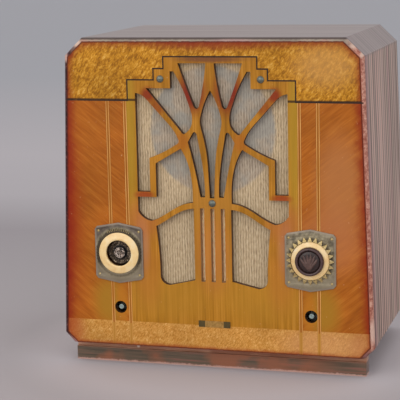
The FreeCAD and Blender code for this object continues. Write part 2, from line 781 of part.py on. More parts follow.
def controls():
    """The volume, tone and band controls with their shafts, nuts and the bracket."""
    apron = chassis_front + sheet
    bracket_back = bracket_y + sheet
    x, z = dial_x, dial_height
    upright = box(x - bracket_width / 2, x + bracket_width / 2, bracket_y, bracket_back, deck_height,
                  deck_height + bracket_height)
    foot = box(x - bracket_width / 2, x + bracket_width / 2, bracket_back, bracket_back + bracket_foot,
               deck_height, deck_height + sheet)
    bracket = upright.fuse(foot).removeSplitter()
    bracket = bracket.cut(rod(x, z, bushing_radius + running_gap, bracket_y - 1.0, bracket_back + 1.0))
    low_x, low_z = lower_control_x, lower_control_height
    wafer_back = apron + sheet + switch_wafer_gap + 2 * sheet
    nuts = [control_nut(x, z, bracket_y), control_nut(-low_x, low_z, chassis_front),
            control_nut(low_x, low_z, chassis_front)]
    volume_end = bracket_back + control_bore_depth - seat_gap
    tone_end = apron + control_bore_depth - seat_gap
    return {
        "control_bracket": bracket,
        "volume_control": control(x, z, bracket_back),
        "tone_control": control(-low_x, low_z, apron),
        "band_switch": band_switch(low_x, low_z, apron),
        "volume_shaft": rod(x, z, shaft_radius, knob_front + shaft_stop_back + seat_gap, volume_end),
        "tone_shaft": rod(-low_x, low_z, shaft_radius, lower_shaft_recess, tone_end),
        "band_shaft": rod(low_x, low_z, shaft_radius, lower_shaft_recess, wafer_back + sheet),
        "control_nuts": Part.makeCompound(nuts),
    }


# ---- tuning condenser and drive ----
def half_vane(x, z, y):
    """One moving vane: the lower half of a disc."""
    vane = rod(x, z, vane_radius, y, y + vane_thickness)
    return vane.cut(box(x - vane_radius, x + vane_radius, y, y + vane_thickness, z, z + vane_radius))


def tuning():
    """The two-section condenser, the ball drive in front of it and the spindle for the missing knob."""
    x, z = -dial_x, dial_height
    gang_back = gang_front + gang_length
    bearing = shaft_radius + running_gap
    half = gang_width / 2
    base = box(x - half, x + half, gang_front, gang_back, deck_height, deck_height + gang_plate)
    front_end = box(x - half, x + half, gang_front, gang_front + gang_plate, deck_height,
                    deck_height + gang_height)
    back_end = box(x - half, x + half, gang_back - gang_plate, gang_back, deck_height,
                   deck_height + gang_height)
    frame = base.fuse([front_end, back_end]).removeSplitter()
    frame = frame.cut(rod(x, z, bearing, gang_front - 1.0, gang_back + 1.0))

    stators = []
    rod_height = deck_height + stator_bottom + stator_rod_inset
    rod_x = stator_width / 2 - stator_rod_inset
    for side in (-1, 1):
        stators.append(rod(x + side * rod_x, rod_height, stator_rod_radius, gang_front + gang_plate,
                           gang_back - gang_plate))
    vanes = []
    for start in section_starts:
        for k in range(vanes_per_section):
            vanes.append(half_vane(x, z, start + k * vane_pitch))
        for k in range(vanes_per_section - 1):
            y = start + (k + 0.5) * vane_pitch
            stators.append(box(x - stator_width / 2, x + stator_width / 2, y, y + vane_thickness,
                               deck_height + stator_bottom, z - stator_clearance))
    stator = stators[0].fuse(stators[1:])

    drive_front = gang_front - drive_length
    outer = drive_race + drive_wall
    housing = rod(x, z, outer, drive_front, gang_front)
    housing = housing.fuse(rod(x, z, drive_boss_radius, drive_front - drive_boss_length, drive_front))
    housing = housing.cut(rod(x, z, drive_race, drive_front + drive_end_wall, gang_front - drive_end_wall))
    housing = housing.cut(rod(x, z, bearing, drive_front - drive_boss_length - 1.0, gang_front + 1.0))

    ball_radius = (drive_race - shaft_radius) / 2
    pitch_radius = (drive_race + shaft_radius) / 2
    ball_y = drive_front + drive_end_wall + ball_radius + seat_gap
    carrier_front = ball_y + ball_radius + seat_gap
    carrier_back = carrier_front + carrier_thickness
    spindle = rod(x, z, shaft_radius, -spindle_reach, carrier_front - seat_gap)
    shaft = rod(x, z, shaft_radius, carrier_front, gang_back + rotor_tail)
    hub = rod(x, z, rotor_hub_radius, gang_front + gang_plate + seat_gap, gang_back - gang_plate - seat_gap)
    carrier = rod(x, z, pitch_radius, carrier_front, carrier_back)
    rotor = shaft.fuse([hub, carrier] + vanes)
    balls = []
    for k in range(drive_balls):
        angle = math.radians(90 + k * 360 / drive_balls)
        balls.append(Part.makeSphere(ball_radius - running_gap, vec(
            x + pitch_radius * math.cos(angle), ball_y, z + pitch_radius * math.sin(angle))))
    return {
        "gang_frame": frame,
        "gang_stators": stator,
        "gang_rotor": Part.makeCompound([rotor] + balls),
        "tuning_drive_housing": housing,
        "tuning_spindle": spindle,
    }


# ---- chassis ----
def chassis_bolt_places():
    """Four bolts through the bottom board into the pan's flanges."""
    x = chassis_half_width - sheet - flange_width / 2
    return [(side * x, y) for side in (-1, 1)
            for y in (chassis_front + chassis_bolt_inset, chassis_back - chassis_bolt_inset)]


def chassis_pan():
    """The folded pan: a deck, four aprons and two flanges turned in at the bottom."""
    w, front, back = chassis_half_width, chassis_front, chassis_back
    pan = box(-w, w, front, back, floor_top, deck_height)
    pan = pan.cut(box(-w + sheet, w - sheet, front + sheet, back - sheet, floor_top - 1.0,
                      deck_height - sheet))
    for side in (-1, 1):
        low, high = sorted((side * (w - sheet), side * (w - sheet - flange_width)))
        pan = pan.fuse(box(low, high, front + sheet, back - sheet, floor_top, floor_top + sheet))
    holes = [rod(side * lower_control_x, lower_control_height, bushing_radius + running_gap, front - 1.0,
                 front + sheet + 1.0) for side in (-1, 1)]
    holes += [post(x, y, socket_hole_radius, deck_height - 2 * sheet, deck_height + 1.0)
              for x, y in valve_places]
    holes += [post(x, y, chassis_bolt_radius + seat_gap, floor_top - 1.0, floor_top + 2 * sheet)
              for x, y in chassis_bolt_places()]
    holes.append(rod(grommet_x, lower_control_height, grommet_neck_radius + running_gap, back - 2 * sheet,
                     back + 1.0))
    return pan.cut(holes).removeSplitter()


def bulb(x, y, z, trim):
    """A shouldered glass bulb with a round crown, as the solid `trim` inside its outer surface."""
    crown = bulb_crown_radius - trim
    shoulder = z + bulb_height - bulb_crown_radius
    outline = [(15.4, trim), (17.0, 12.0), (21.8, 32.0), (20.6, 46.0), (14.6, 60.0)]
    points = [vec(x + r - trim, y, z + h) for r, h in outline] + [vec(x + crown, y, shoulder)]
    side = Part.BSplineCurve()
    side.interpolate(points)
    middle = crown * math.sqrt(0.5)
    top = vec(x, y, shoulder + crown)
    dome = Part.Arc(points[-1], vec(x + middle, y, shoulder + middle), top)
    foot = vec(x, y, points[0].z)
    edges = [side.toShape(), dome.toShape(), Part.makeLine(top, foot), Part.makeLine(foot, points[0])]
    return Part.Face(Part.Wire(edges)).revolve(vec(x, y, 0), vec(0, 0, 1), 360)


def valves():
    """Sockets, bases, glass bulbs, electrodes and top caps."""
    sockets, bases, glass, electrodes, caps = [], [], [], [], []
    base_low = deck_height + socket_thickness
    glass_low = base_low + base_height
    for n, (x, y) in enumerate(valve_places):
        lug = box(x - socket_radius - 5.0, x + socket_radius + 5.0, y - 6.0, y + 6.0, deck_height,
                  deck_height + sheet)
        sockets.append(post(x, y, socket_radius, deck_height, base_low).fuse(lug).removeSplitter())
        base = post(x, y, base_radius, base_low, glass_low)
        skirt = post(x, y, base_radius + 1.0, base_low, base_low + 3.0)
        bases.append(base.fuse(skirt).removeSplitter())
        outside = bulb(x, y, glass_low, 0.0)
        glass.append(outside.cut(bulb(x, y, glass_low, glass_wall)))
        anode_low = glass_low + anode_foot
        anode_high = anode_low + anode_length
        stem = post(x, y, stem_radius, glass_low + glass_wall, anode_low)
        anode = post(x, y, anode_radius, anode_low, anode_high)
        micas = [post(x, y, mica_radius, z, z + mica_thickness) for z in (anode_low, anode_high - mica_thickness)]
        electrodes.append(stem.fuse([anode] + micas).removeSplitter())
        if n < capped_valves:
            top = glass_low + bulb_height
            cap = post(x, y, cap_radius, top - cap_overlap, top + cap_height)
            caps.append(cap.cut(outside))
    return {
        "valve_sockets": Part.makeCompound(sockets),
        "valve_bases": Part.makeCompound(bases),
        "valve_glass": Part.makeCompound(glass),
        "valve_electrodes": Part.makeCompound(electrodes),
        "valve_top_caps": Part.makeCompound(caps),
    }


def screening_can(x, y):
    """A square can with rounded corners, open at its foot, with a trimming hole in its top."""
    half = can_width / 2
    top = deck_height + can_height
    outer = box(x - half, x + half, y - half, y + half, deck_height, top)
    upright = [e for e in outer.Edges if abs(e.Vertexes[0].Z - e.Vertexes[1].Z) > can_height / 2]
    outer = outer.makeFillet(can_corner, upright)
    inner_half = half - can_wall
    inner = box(x - inner_half, x + inner_half, y - inner_half, y + inner_half, deck_height - 1.0,
                top - can_wall)
    upright = [e for e in inner.Edges if abs(e.Vertexes[0].Z - e.Vertexes[1].Z) > can_height / 2]
    inner = inner.makeFillet(can_corner - can_wall, upright)
    return outer.cut(inner).cut(post(x, y, can_hole_radius, top - 2 * can_wall, top + 1.0))


def chassis():
    """The pan and what stands on it."""
    cans = [screening_can(x, y) for x, y in can_places]
    electrolytics = []
    for x, y in electrolytic_places:
        can = post(x, y, electrolytic_radius, deck_height, deck_height + electrolytic_height)
        electrolytics.append(can.makeFillet(2.0, [can.Edges[0]]))
    core, coil = transformer(transformer_width, transformer_height, transformer_stack, transformer_leg)
    for piece in (core, coil):
        piece.translate(vec(transformer_place[0], transformer_place[1], deck_height))

    height = lower_control_height
    strip = box(terminal_x - terminal_width / 2, terminal_x + terminal_width / 2, chassis_back,
                chassis_back + terminal_thickness, height - terminal_height / 2, height + terminal_height / 2)
    strip_back = chassis_back + terminal_thickness
    terminals = [rod(terminal_x + side * terminal_spacing / 2, height, terminal_radius, strip_back,
                     strip_back + terminal_length) for side in (-1, 1)]
    grommet = turned(grommet_x, height, [
        (grommet_hole_radius, chassis_back - sheet - grommet_lip),
        (grommet_lip_radius, chassis_back - sheet - grommet_lip), (grommet_lip_radius, chassis_back - sheet),
        (grommet_neck_radius, chassis_back - sheet), (grommet_neck_radius, chassis_back),
        (grommet_lip_radius, chassis_back), (grommet_lip_radius, chassis_back + grommet_lip),
        (grommet_hole_radius, chassis_back + grommet_lip)])
    bolts = []
    for x, y in chassis_bolt_places():
        head = hexagon(0.0, 0.0, chassis_bolt_head_flats, 0.0, chassis_bolt_head_height)
        head.rotate(vec(0, 0, 0), vec(1, 0, 0), -90)
        head.translate(vec(x, y, plinth_height))
        nut = hexagon(0.0, 0.0, chassis_bolt_head_flats, 0.0, chassis_bolt_head_height)
        nut.rotate(vec(0, 0, 0), vec(1, 0, 0), -90)
        nut.translate(vec(x, y, floor_top + sheet + chassis_bolt_head_height))
        shank = post(x, y, chassis_bolt_radius, plinth_height,
                     floor_top + sheet + chassis_bolt_head_height + chassis_bolt_spare)
        bolts.append(shank.fuse([head, nut]).removeSplitter())
    return {
        "chassis_pan": chassis_pan(),
        "if_cans": Part.makeCompound(cans),
        "electrolytic_cans": Part.makeCompound(electrolytics),
        "mains_transformer_core": core,
        "mains_transformer_coil": coil,
        "terminal_strip": Part.makeCompound([strip] + terminals),
        "mains_grommet": grommet,
        "chassis_bolts": Part.makeCompound(bolts),
    }


def save(name, shape):
    """Writes one node, moved from the front face's frame to the footprint's centre."""
    placed = shape.copy()
    placed.translate(vec(0, -middle_y, 0))
    valid = placed.isValid() and all(solid.isClosed() and solid.isValid() for solid in placed.Solids)
    print(f"{name:26s} solids {len(placed.Solids):3d}  volume {placed.Volume / 1000:9.2f} cm3"
          f"{'' if valid and placed.Solids else '  BROKEN'}")
    placed.exportStep(f"parts/{name}.step")


os.makedirs("parts", exist_ok=True)
for group in (front, case, speaker, dials, controls, tuning, valves, chassis):
    for node, node_shape in group().items():
        save(node, node_shape)
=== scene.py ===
"""The looks of a wooden table radio of the mid 1930s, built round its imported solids.

Everything is in metres and in the row's frame: +Z is up, the front faces -Y and +X is to the right of
someone who faces it. A length in millimetres says so in its name or its comment.
"""
import logging
import math
from dataclasses import dataclass, field
from enum import Enum
from typing import NamedTuple, Sequence

import bpy
from mathutils import Matrix, Vector


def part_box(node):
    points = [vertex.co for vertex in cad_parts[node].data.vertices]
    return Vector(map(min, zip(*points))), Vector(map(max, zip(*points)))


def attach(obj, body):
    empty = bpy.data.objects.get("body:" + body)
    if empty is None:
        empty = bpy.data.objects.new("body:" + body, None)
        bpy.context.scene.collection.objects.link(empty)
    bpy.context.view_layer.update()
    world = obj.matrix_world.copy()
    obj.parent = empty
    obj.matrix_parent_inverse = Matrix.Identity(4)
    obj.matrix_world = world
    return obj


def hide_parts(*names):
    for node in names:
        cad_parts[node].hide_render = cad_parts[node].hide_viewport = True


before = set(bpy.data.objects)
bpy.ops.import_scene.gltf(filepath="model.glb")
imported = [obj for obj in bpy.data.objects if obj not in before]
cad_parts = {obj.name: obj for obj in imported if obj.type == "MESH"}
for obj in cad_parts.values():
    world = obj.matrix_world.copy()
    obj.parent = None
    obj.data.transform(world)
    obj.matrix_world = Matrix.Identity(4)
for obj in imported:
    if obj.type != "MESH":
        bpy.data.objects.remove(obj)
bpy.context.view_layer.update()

MM = 0.001
FACE_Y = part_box("veneer_centre_panel")[0].y
FACE_MM = FACE_Y * 1000

Object = bpy.types.Object
Node = bpy.types.Node
Socket = bpy.types.NodeSocket
Source = Node | Socket
Tree = bpy.types.NodeTree
Point = tuple[float, float]
Point3 = tuple[float, float, float]
Stops = Sequence[tuple[float, str]]


# ---- materials: shared steps ----
def tone(code: str) -> tuple[float, float, float, float]:
    """Turn an sRGB hex colour into the linear colour that shaders use.

    Args:
        code: The colour, such as "#B9821F".

    Returns:
        Linear red, green, blue and an alpha of one.
    """
    parts = [int(code[k:k + 2], 16) / 255 for k in (1, 3, 5)]
    linear = [c / 12.92 if c <= 0.04045 else ((c + 0.055) / 1.055) ** 2.4 for c in parts]
    return (*linear, 1.0)


def feed(node: Node, inputs: dict) -> None:
    """Set or link a node's inputs.

    Args:
        node: The node to feed.
        inputs: Input name, or place among the inputs in use, to a number, colour, node or socket.
    """
    open_inputs = [socket for socket in node.inputs if socket.enabled]
    for key, value in inputs.items():
        if value is None:
            continue
        socket = open_inputs[key] if isinstance(key, int) else node.inputs[key]
        if isinstance(value, Node):
            value = next(out for out in value.outputs if out.enabled)
        if isinstance(value, Socket):
            node.id_data.links.new(value, socket)
        else:
            socket.default_value = value


def add(tree: Tree, kind: str, *values, inputs: dict | None = None, stops: Stops = (), **settings) -> Node:
    """Add one node with its settings and links.

    Args:
        tree: The material's node tree.
        kind: The node's type without its ShaderNode prefix.
        values: What its inputs get, in order; None leaves one as it is.
        inputs: What further inputs get, by name.
        stops: Places and hex colours of a colour ramp.
        settings: The node's own properties.

    Returns:
        The new node.
    """
    node = tree.nodes.new("ShaderNode" + kind)
    for key, value in settings.items():
        setattr(node, key, value)
    feed(node, dict(enumerate(values)))
    feed(node, inputs or {})
    if stops:
        ramp = node.color_ramp.elements
        while len(ramp) < len(stops):
            ramp.new(0.5)
        for element, (place, code) in zip(ramp, stops):
            element.position = place
            element.color = tone(code)
    return node


# the cloth slots end this far from the middle and this high up, in the row's frame
SLOT_HALF_MM = 20.0
SLOT_TOP_MM = 209.0


class Axes(NamedTuple):
    """The three coordinates of a point, as sockets."""

    x: Socket
    y: Socket
    z: Socket


@dataclass(frozen=True)
class Graph:
    """A material's nodes: each method adds one step and takes numbers, nodes or sockets."""

    tree: Tree

    def math(self, operation: str, *values) -> Node:
        """Add a calculation with numbers."""
        return add(self.tree, "Math", *values, operation=operation)

    def size(self, value: Source) -> Node:
        """Add a number without its sign."""
        return self.math("ABSOLUTE", value)

    def shift(self, noise: Node, amount: float, base: Source) -> Node:
        """Add a noise times an amount to a base, so that an edge taken from it runs ragged."""
        return self.math("MULTIPLY_ADD", noise, amount, base)

    def vector(self, operation: str, *values) -> Node:
        """Add a calculation with vectors."""
        return add(self.tree, "VectorMath", *values, operation=operation)

    def scaled(self, place: Node, factors: Point3) -> Node:
        """Add a place stretched by a factor along each axis."""
        return self.vector("MULTIPLY", place, factors)

    def span(self, value: Source, start: float, end: float, low: float = 0.0,
             high: float = 1.0) -> Node:
        """Add the run from start to end turned into the run from low to high, level beyond both."""
        return add(self.tree, "MapRange", value, start, end, low, high)

    def ease(self, value: Source, start: float, end: float, low: float, high: float) -> Node:
        """Add the same as `span`, with soft ends."""
        return add(self.tree, "MapRange", value, start, end, low, high, interpolation_type="SMOOTHSTEP")

    def ramp(self, value: Node, stops: Stops) -> Node:
        """Add a colour ramp."""
        return add(self.tree, "ValToRGB", value, stops=stops)

    def split(self, value: Source) -> Axes:
        """Add a point's three coordinates."""
        return Axes(*add(self.tree, "SeparateXYZ", value).outputs)

    def point(self, *values) -> Node:
        """Add a point made of three numbers."""
        return add(self.tree, "CombineXYZ", *values)

    def mix(self, share: Node | float, under, over) -> Node:
        """Add one colour over another."""
        return add(self.tree, "Mix", share, under, over, data_type="RGBA")

    def tint(self, share: Node | float, under: Node, code: str) -> Node:
        """Add a layer of a plain colour, of which a share from 0 to 1 shows."""
        return self.mix(share, under, tone(code))

    def brighten(self, colour: Node, value: Node) -> Node:
        """Add a colour made lighter or darker by a factor."""
        return add(self.tree, "HueSaturation", inputs={"Value": value, "Color": colour})

    def bump(self, strength: float, metres: float, height: Node) -> Node:
        """Add relief."""
        return add(self.tree, "Bump", inputs={"Strength": strength, "Distance": metres, "Height": height})

    def place(self) -> Node:
        """Add the place on the piece, in millimetres of the row's frame."""
        place = add(self.tree, "TexCoord").outputs["Object"]
        return add(self.tree, "VectorMath", place, inputs={"Scale": 1000.0}, operation="SCALE")

    def here(self) -> tuple[Node, Axes]:
        """Add the place and its three coordinates."""
        place = self.place()
        return place, self.split(place)

    def noise(self, place: Node, size: float, detail: float = 2.0, rough: float = 0.5,
              stir: float = 0.0) -> Node:
        """Add a noise whose factor runs from 0 to 1.

        Args:
            place: The place in millimetres.
            size: The pattern's size in millimetres.
            detail: Octaves.
            rough: How strong the finer octaves are.
            stir: How much it is distorted.

        Returns:
            The noise node.
        """
        return add(self.tree, "TexNoise", place,
                   inputs={"Scale": 1 / size, "Detail": detail, "Roughness": rough, "Distortion": stir})

    def grain(self, place: Node, lean_deg: float, periods: Point3, detail: float, stir: float = 0.0) -> Node:
        """Add a noise stretched along one direction of the front's plane.

        Args:
            place: The place in millimetres.
            lean_deg: How far the stripes lean over from upright.
            periods: The pattern's size in mm across the stripes, through the depth and along the stripes.
            detail: Octaves.
            stir: How much it is distorted.

        Returns:
            The noise node.
        """
        scale = tuple(1.0 / period for period in periods)
        leant = add(self.tree, "VectorRotate", place, inputs={"Angle": math.radians(lean_deg)},
                    rotation_type="Y_AXIS")
        return self.noise(self.scaled(leant, scale), 1.0, detail, stir=stir)

    def from_centre(self, place: Node, x: float, z: float) -> tuple[Node, Node]:
        """Add a place's offset from a centre on the front, and its distance, in millimetres."""
        flat = self.vector("MULTIPLY_ADD", place, (1.0, 0.0, 1.0), (-x, 0.0, -z))
        return flat, self.vector("LENGTH", flat)

    def slots(self, parts: Axes) -> Node:
        """Add a mask of the cloth slots beside the middle bars, under the loudspeaker's opening."""
        across = self.span(self.size(parts.x), SLOT_HALF_MM - 1.0, SLOT_HALF_MM + 1.0, 1.0, 0.0)
        rise = self.span(parts.z, SLOT_TOP_MM - 1.0, SLOT_TOP_MM + 1.0, 1.0, 0.0)
        return self.math("MULTIPLY", across, rise)


SHADER_INPUTS = {
    "metallic": "Metallic", "coat": "Coat Weight", "coat_rough": "Coat Roughness", "ior": "IOR",
    "specular": "Specular IOR Level", "sheen": "Sheen Weight", "sheen_rough": "Sheen Roughness",
    "clear": "Transmission Weight",
}


@dataclass(frozen=True)
class Finish:
    """What every finish has: a name, and a shader that `lay` dresses."""

    name: str

    def material(self) -> bpy.types.Material:
        """Make the material, or return it if it is there already."""
        made = bpy.data.materials.get(self.name)
        if made is None:
            made = bpy.data.materials.new(self.name)
            made.use_nodes = True
            made.node_tree.nodes.clear()
            shader = add(made.node_tree, "BsdfPrincipled")
            add(made.node_tree, "OutputMaterial", shader)
            self.lay(Graph(made.node_tree), shader)
        return made

    def lay(self, g: Graph, shader: Node) -> None:
        """Add this finish's pattern to the shader."""
        raise NotImplementedError

    def show(self, shader: Node, colour: Node, rough: float | Node, bump: Node | None = None,
             **extra: float | Node) -> None:
        """Feed the shader with what was found; the further inputs are named in SHADER_INPUTS."""
        feed(shader, {"Base Color": colour, "Roughness": rough, "Normal": bump})
        feed(shader, {SHADER_INPUTS[key]: value for key, value in extra.items()})


@dataclass(frozen=True)
class CaseOutline:
    """The case's outline seen from the front, in millimetres: it leans inwards and has cut corners."""

    foot: float = 25.8
    top: float = 418.0
    foot_half_width: float = 202.5
    top_half_width: float = 188.75
    foot_cut: float = 12.0
    top_cut: float = 22.0

    def lines(self) -> list[tuple[float, float, float]]:
        """The right half's five edges as inward normal and offset, so that a dot product is a distance."""
        lean = (self.foot_half_width - self.top_half_width) / (self.top - self.foot)
        low, high = self.foot + self.foot_cut, self.top - self.top_cut
        corners = [(0.0, self.foot), (self.foot_half_width - self.foot_cut, self.foot),
                   (self.foot_half_width - lean * self.foot_cut, low),
                   (self.top_half_width + lean * self.top_cut, high),
                   (self.top_half_width - self.top_cut, self.top), (0.0, self.top)]
        found = []
        for (x0, z0), (x1, z1) in zip(corners, corners[1:]):
            length = math.hypot(x1 - x0, z1 - z0)
            nx, nz = -(z1 - z0) / length, (x1 - x0) / length
            found.append((nx, nz, -nx * x0 - nz * z0))
        return found

    def depth(self, g: Graph, place: Node, foot_margin: float = 0.0) -> Node:
        """Add how far a place lies inside the outline, in millimetres.

        Args:
            g: The material's graph.
            place: The place in millimetres.
            foot_margin: How much farther off the bottom edge counts, in millimetres.

        Returns:
            A node whose value is the distance to the nearest edge of the outline.
        """
        parts = g.split(place)
        across = g.size(parts.x)
        flat = g.point(across, parts.z, 1.0)
        nearest = None
        for k, (nx, nz, offset) in enumerate(self.lines()):
            line = (nx, nz, offset + (foot_margin if k == 0 else 0.0))
            edge = g.vector("DOT_PRODUCT", flat, line)
            nearest = edge if nearest is None else g.math("MINIMUM", nearest, edge)
        return nearest


OUTLINE = CaseOutline()
# the front's bottom edge is almost sharp, so its rim is this much narrower than the others
SHARP_FOOT_MM = 4.2
# how wide the worn rim is
RIM_MM = 5.5
# the seam under the top band, on the same scale as the outline
SEAM_Z_MM = 341.3
# the seam's glue line starts this far from the middle
SEAM_START_MM = 90.0


@dataclass(frozen=True)
class Patch:
    """A soft local change of colour on the front: centre and half size in mm, and how strong it is."""

    x: float
    z: float
    half_width: float
    half_height: float
    code: str
    strength: float = 0.8
    both_sides: bool = True

    def mask(self, g: Graph, place: Node) -> Node:
        """Add how much a place lies in the patch, from 0 to its strength."""
        parts = g.split(place)
        across = g.size(parts.x) if self.both_sides else parts.x
        flat = g.point(across, 0.0, parts.z)
        scale = (1 / self.half_width, 0.0, 1 / self.half_height)
        shift = (-self.x / self.half_width, 0.0, -self.z / self.half_height)
        away = g.vector("MULTIPLY_ADD", flat, scale, shift)
        return g.ease(g.vector("LENGTH", away), 0.25, 1.0, self.strength, 0.0)


def one_patch(*measures) -> Patch:
    """A patch that isn't mirrored to the other side."""
    return Patch(*measures, both_sides=False)


# ---- materials: wood ----
RIM_CHIPS = (
    one_patch(-172.0, 411.0, 9.0, 6.0, "#E2C2AC", 0.9),
    one_patch(-187.0, 393.0, 4.0, 8.0, "#E2B8A8", 0.8),
    one_patch(176.0, 408.0, 5.0, 4.0, "#D8BCA8", 0.6),
    one_patch(187.0, 397.0, 3.5, 5.0, "#D8BCA8", 0.7),
    one_patch(30.0, 413.5, 44.0, 4.0, "#B48A88", 0.6),
    one_patch(-97.0, 412.0, 5.0, 4.0, "#D8B09A", 0.8),
    one_patch(199.5, 60.0, 6.0, 22.0, "#DDBBA8", 0.8),
    one_patch(-110.0, 27.0, 24.0, 5.0, "#C08E96", 0.7),
)


def worn_rim_with_painted_light(g: Graph, place: Node, depth: Node, under: Node) -> Node:
    """Add the front's rounded rim: lacquer rubbed thin, a painted grey sheen above, painted purple-brown
    shade down the left, raw to the right.

    Args:
        g: The material's graph.
        place: The place in millimetres.
        depth: How far inside the outline that is, in millimetres.
        under: The colour inside the rim.

    Returns:
        The colour with its rim.
    """
    parts = g.split(place)
    x, z = parts.x, parts.z
    stir = g.noise(place, 5.0, 4.0, rough=0.7)
    along = g.noise(place, 26.0, 3.0)
    # painted light: the upper stops are a grey sheen where the rim faces the light from above, and the left
    # stops a purple-brown painted shade on the side turned away from it
    upper = g.ramp(along, [(0.35, "#8C7F70"), (0.5, "#A39684"), (0.62, "#B08C7C")])
    left = g.ramp(stir, [(0.4, "#2C1416"), (0.54, "#4C2628"), (0.7, "#7E504E")])
    right = g.ramp(stir, [(0.35, "#8E4E3C"), (0.5, "#B47460"), (0.64, "#D6A48E")])
    lower = g.ramp(along, [(0.35, "#6E4438"), (0.5, "#A0706A"), (0.62, "#B88C8C")])
    rim = g.mix(g.span(x, -166.0, -182.0), upper, left)
    rim = g.mix(g.span(x, 166.0, 182.0), rim, right)
    rim = g.mix(g.span(z, 38.0, 32.0), rim, lower)
    ridge = g.shift(stir, -1.4, z)
    rim = g.tint(g.span(ridge, 414.8, 415.4, 0.0, 0.9), rim, "#3A2420")
    for chip in RIM_CHIPS:
        rim = g.tint(chip.mask(g, place), rim, chip.code)
    ragged = g.shift(stir, 2.2, depth)
    line = g.span(ragged, 7.4, 6.2, 0.0, 0.75)
    colour = g.tint(line, under, "#4A1A10")
    edge = g.span(ragged, 5.6, 4.9, 0.0, 1.0)
    return g.mix(edge, colour, rim)


class Figure(Enum):
    """How a veneer is figured: lean in degrees, mirrored or not, then coarse and fine periods in mm."""

    QUILTED = (-34.0, False, (4.0, 60.0, 8.5), (1.4, 60.0, 3.0))
    RIBBON = (-52.0, True, (4.6, 60.0, 42.0), (1.5, 60.0, 26.0))
    STRAIGHT = (0.0, False, (4.4, 60.0, 120.0), (1.5, 60.0, 55.0))


@dataclass(frozen=True)
class FrontVeneer(Finish):
    """Lacquered veneer, toned darker by spray towards the case's edges, rubbed through along them.

    The eye gets the wood's figure under a thin amber gloss, a red-brown shade that fades inwards, and
    pale chips where the edge has been knocked.
    """

    figure: Figure
    stops: tuple[tuple[float, str], ...]
    edge_code: str = "#8E2E10"
    edge_mm: float = 14.0
    edge_share: float = 0.9
    patches: tuple[Patch, ...] = ()
    fine_share: float = 0.4
    speck_share: float = 0.5

    def lay(self, g: Graph, shader: Node) -> None:
        """Layer figure, toning, patches, specks, chips and lacquer."""
        place = g.place()
        lean, mirrored, coarse_mm, fine_mm = self.figure.value
        figured = g.vector("ABSOLUTE", place) if mirrored else place
        coarse = g.grain(figured, lean, coarse_mm, 2.0, 0.5)
        fine = g.grain(figured, lean, fine_mm, 3.0, 0.2)
        mixed = add(g.tree, "Mix", self.fine_share, coarse, fine, data_type="FLOAT")
        sharp = g.span(mixed, 0.28, 0.72)
        colour = g.ramp(sharp, self.stops)

        cloud = g.noise(place, 55.0, 3.0)
        shade = g.span(cloud, 0.3, 0.7, 0.84, 1.14)
        colour = g.brighten(colour, shade)
        for patch in self.patches:
            colour = g.tint(patch.mask(g, place), colour, patch.code)

        depth = OUTLINE.depth(g, place, SHARP_FOOT_MM)
        stir = g.noise(place, 17.0, 4.0, rough=0.6)
        shifted = g.shift(stir, -self.edge_mm, depth)
        start, end = RIM_MM - self.edge_mm * 0.75, RIM_MM + self.edge_mm * 0.45
        toned = g.ease(shifted, start, end, self.edge_share, 0.0)
        colour = g.tint(toned, colour, self.edge_code)

        # dark glue line along the seam between the top band and the fields
        parts = g.split(place)
        off = g.size(g.math("SUBTRACT", parts.z, SEAM_Z_MM))
        across = g.size(parts.x)
        outside = g.span(across, SEAM_START_MM, SEAM_START_MM + 1.5)
        seam = g.math("MULTIPLY", g.span(off, 1.1, 1.8, 0.85, 0.0), outside)
        colour = g.tint(seam, colour, "#2E1A10")

        # scuffs and dents through the lacquer, 1 to 3 mm across
        speck = g.noise(place, 3.2, 2.0)
        worn = g.span(speck, 0.72, 0.8, 0.0, self.speck_share)
        colour = g.tint(worn, colour, "#D9A878")
        colour = worn_rim_with_painted_light(g, place, depth, colour)

        rough = g.span(cloud, 0.3, 0.7, 0.3, 0.44)
        bump = g.bump(0.12, 0.0004, mixed)
        self.show(shader, colour, rough, bump, coat=0.1, coat_rough=0.22, specular=0.16)


@dataclass(frozen=True)
class InlayLines(Finish):
    """Boxwood lines let into the veneer in pairs: thin, pale and lacquered, with dark glue lines beside.

    Every strip of the node shows two pale lines about 3.2 mm apart with warm wood between them.
    """

    centres_mm: tuple[float, float] = (110.9, 133.9)
    joint_mm: float = 55.0

    def lay(self, g: Graph, shader: Node) -> None:
        """Draw each strip's lines by the distance from its middle."""
        place, parts = g.here()
        across = g.size(parts.x)
        inner, outer = [g.size(g.math("SUBTRACT", across, centre)) for centre in self.centres_mm]
        off = g.math("MINIMUM", inner, outer)
        wood = g.grain(place, 0.0, (2.0, 60.0, 60.0), 3.0)
        colour = g.ramp(wood, [(0.3, "#96540E"), (0.7, "#B4701C")])
        foot = g.span(parts.z, self.joint_mm - 0.3, self.joint_mm + 0.3, 0.85, 0.0)
        colour = g.tint(foot, colour, "#C28A38")
        line = g.ramp(g.span(off, 0.0, 2.3), [(0.0, "#000000"), (0.46, "#000000"), (0.54, "#FFFFFF"),
                                              (0.84, "#FFFFFF"), (0.9, "#000000"), (1.0, "#000000")])
        wear = g.noise(place, 40.0, 3.0)
        shown = g.math("MULTIPLY", line, g.span(wear, 0.35, 0.65, 0.5, 1.0))
        faded = g.span(foot, 0.0, 0.85, 1.0, 0.4)
        shown = g.math("MULTIPLY", shown, faded)
        colour = g.tint(shown, colour, "#F0B468")
        beside = g.span(off, 2.05, 2.15, 0.0, 0.6)
        beside = g.math("MULTIPLY", beside, faded)
        colour = g.tint(beside, colour, "#4F2410")
        depth = OUTLINE.depth(g, place, SHARP_FOOT_MM)
        colour = g.tint(g.span(depth, RIM_MM, RIM_MM * 2, 0.6, 0.0), colour, "#8E3A18")
        colour = worn_rim_with_painted_light(g, place, depth, colour)
        self.show(shader, colour, 0.36, coat=0.1, coat_rough=0.22, specular=0.2)


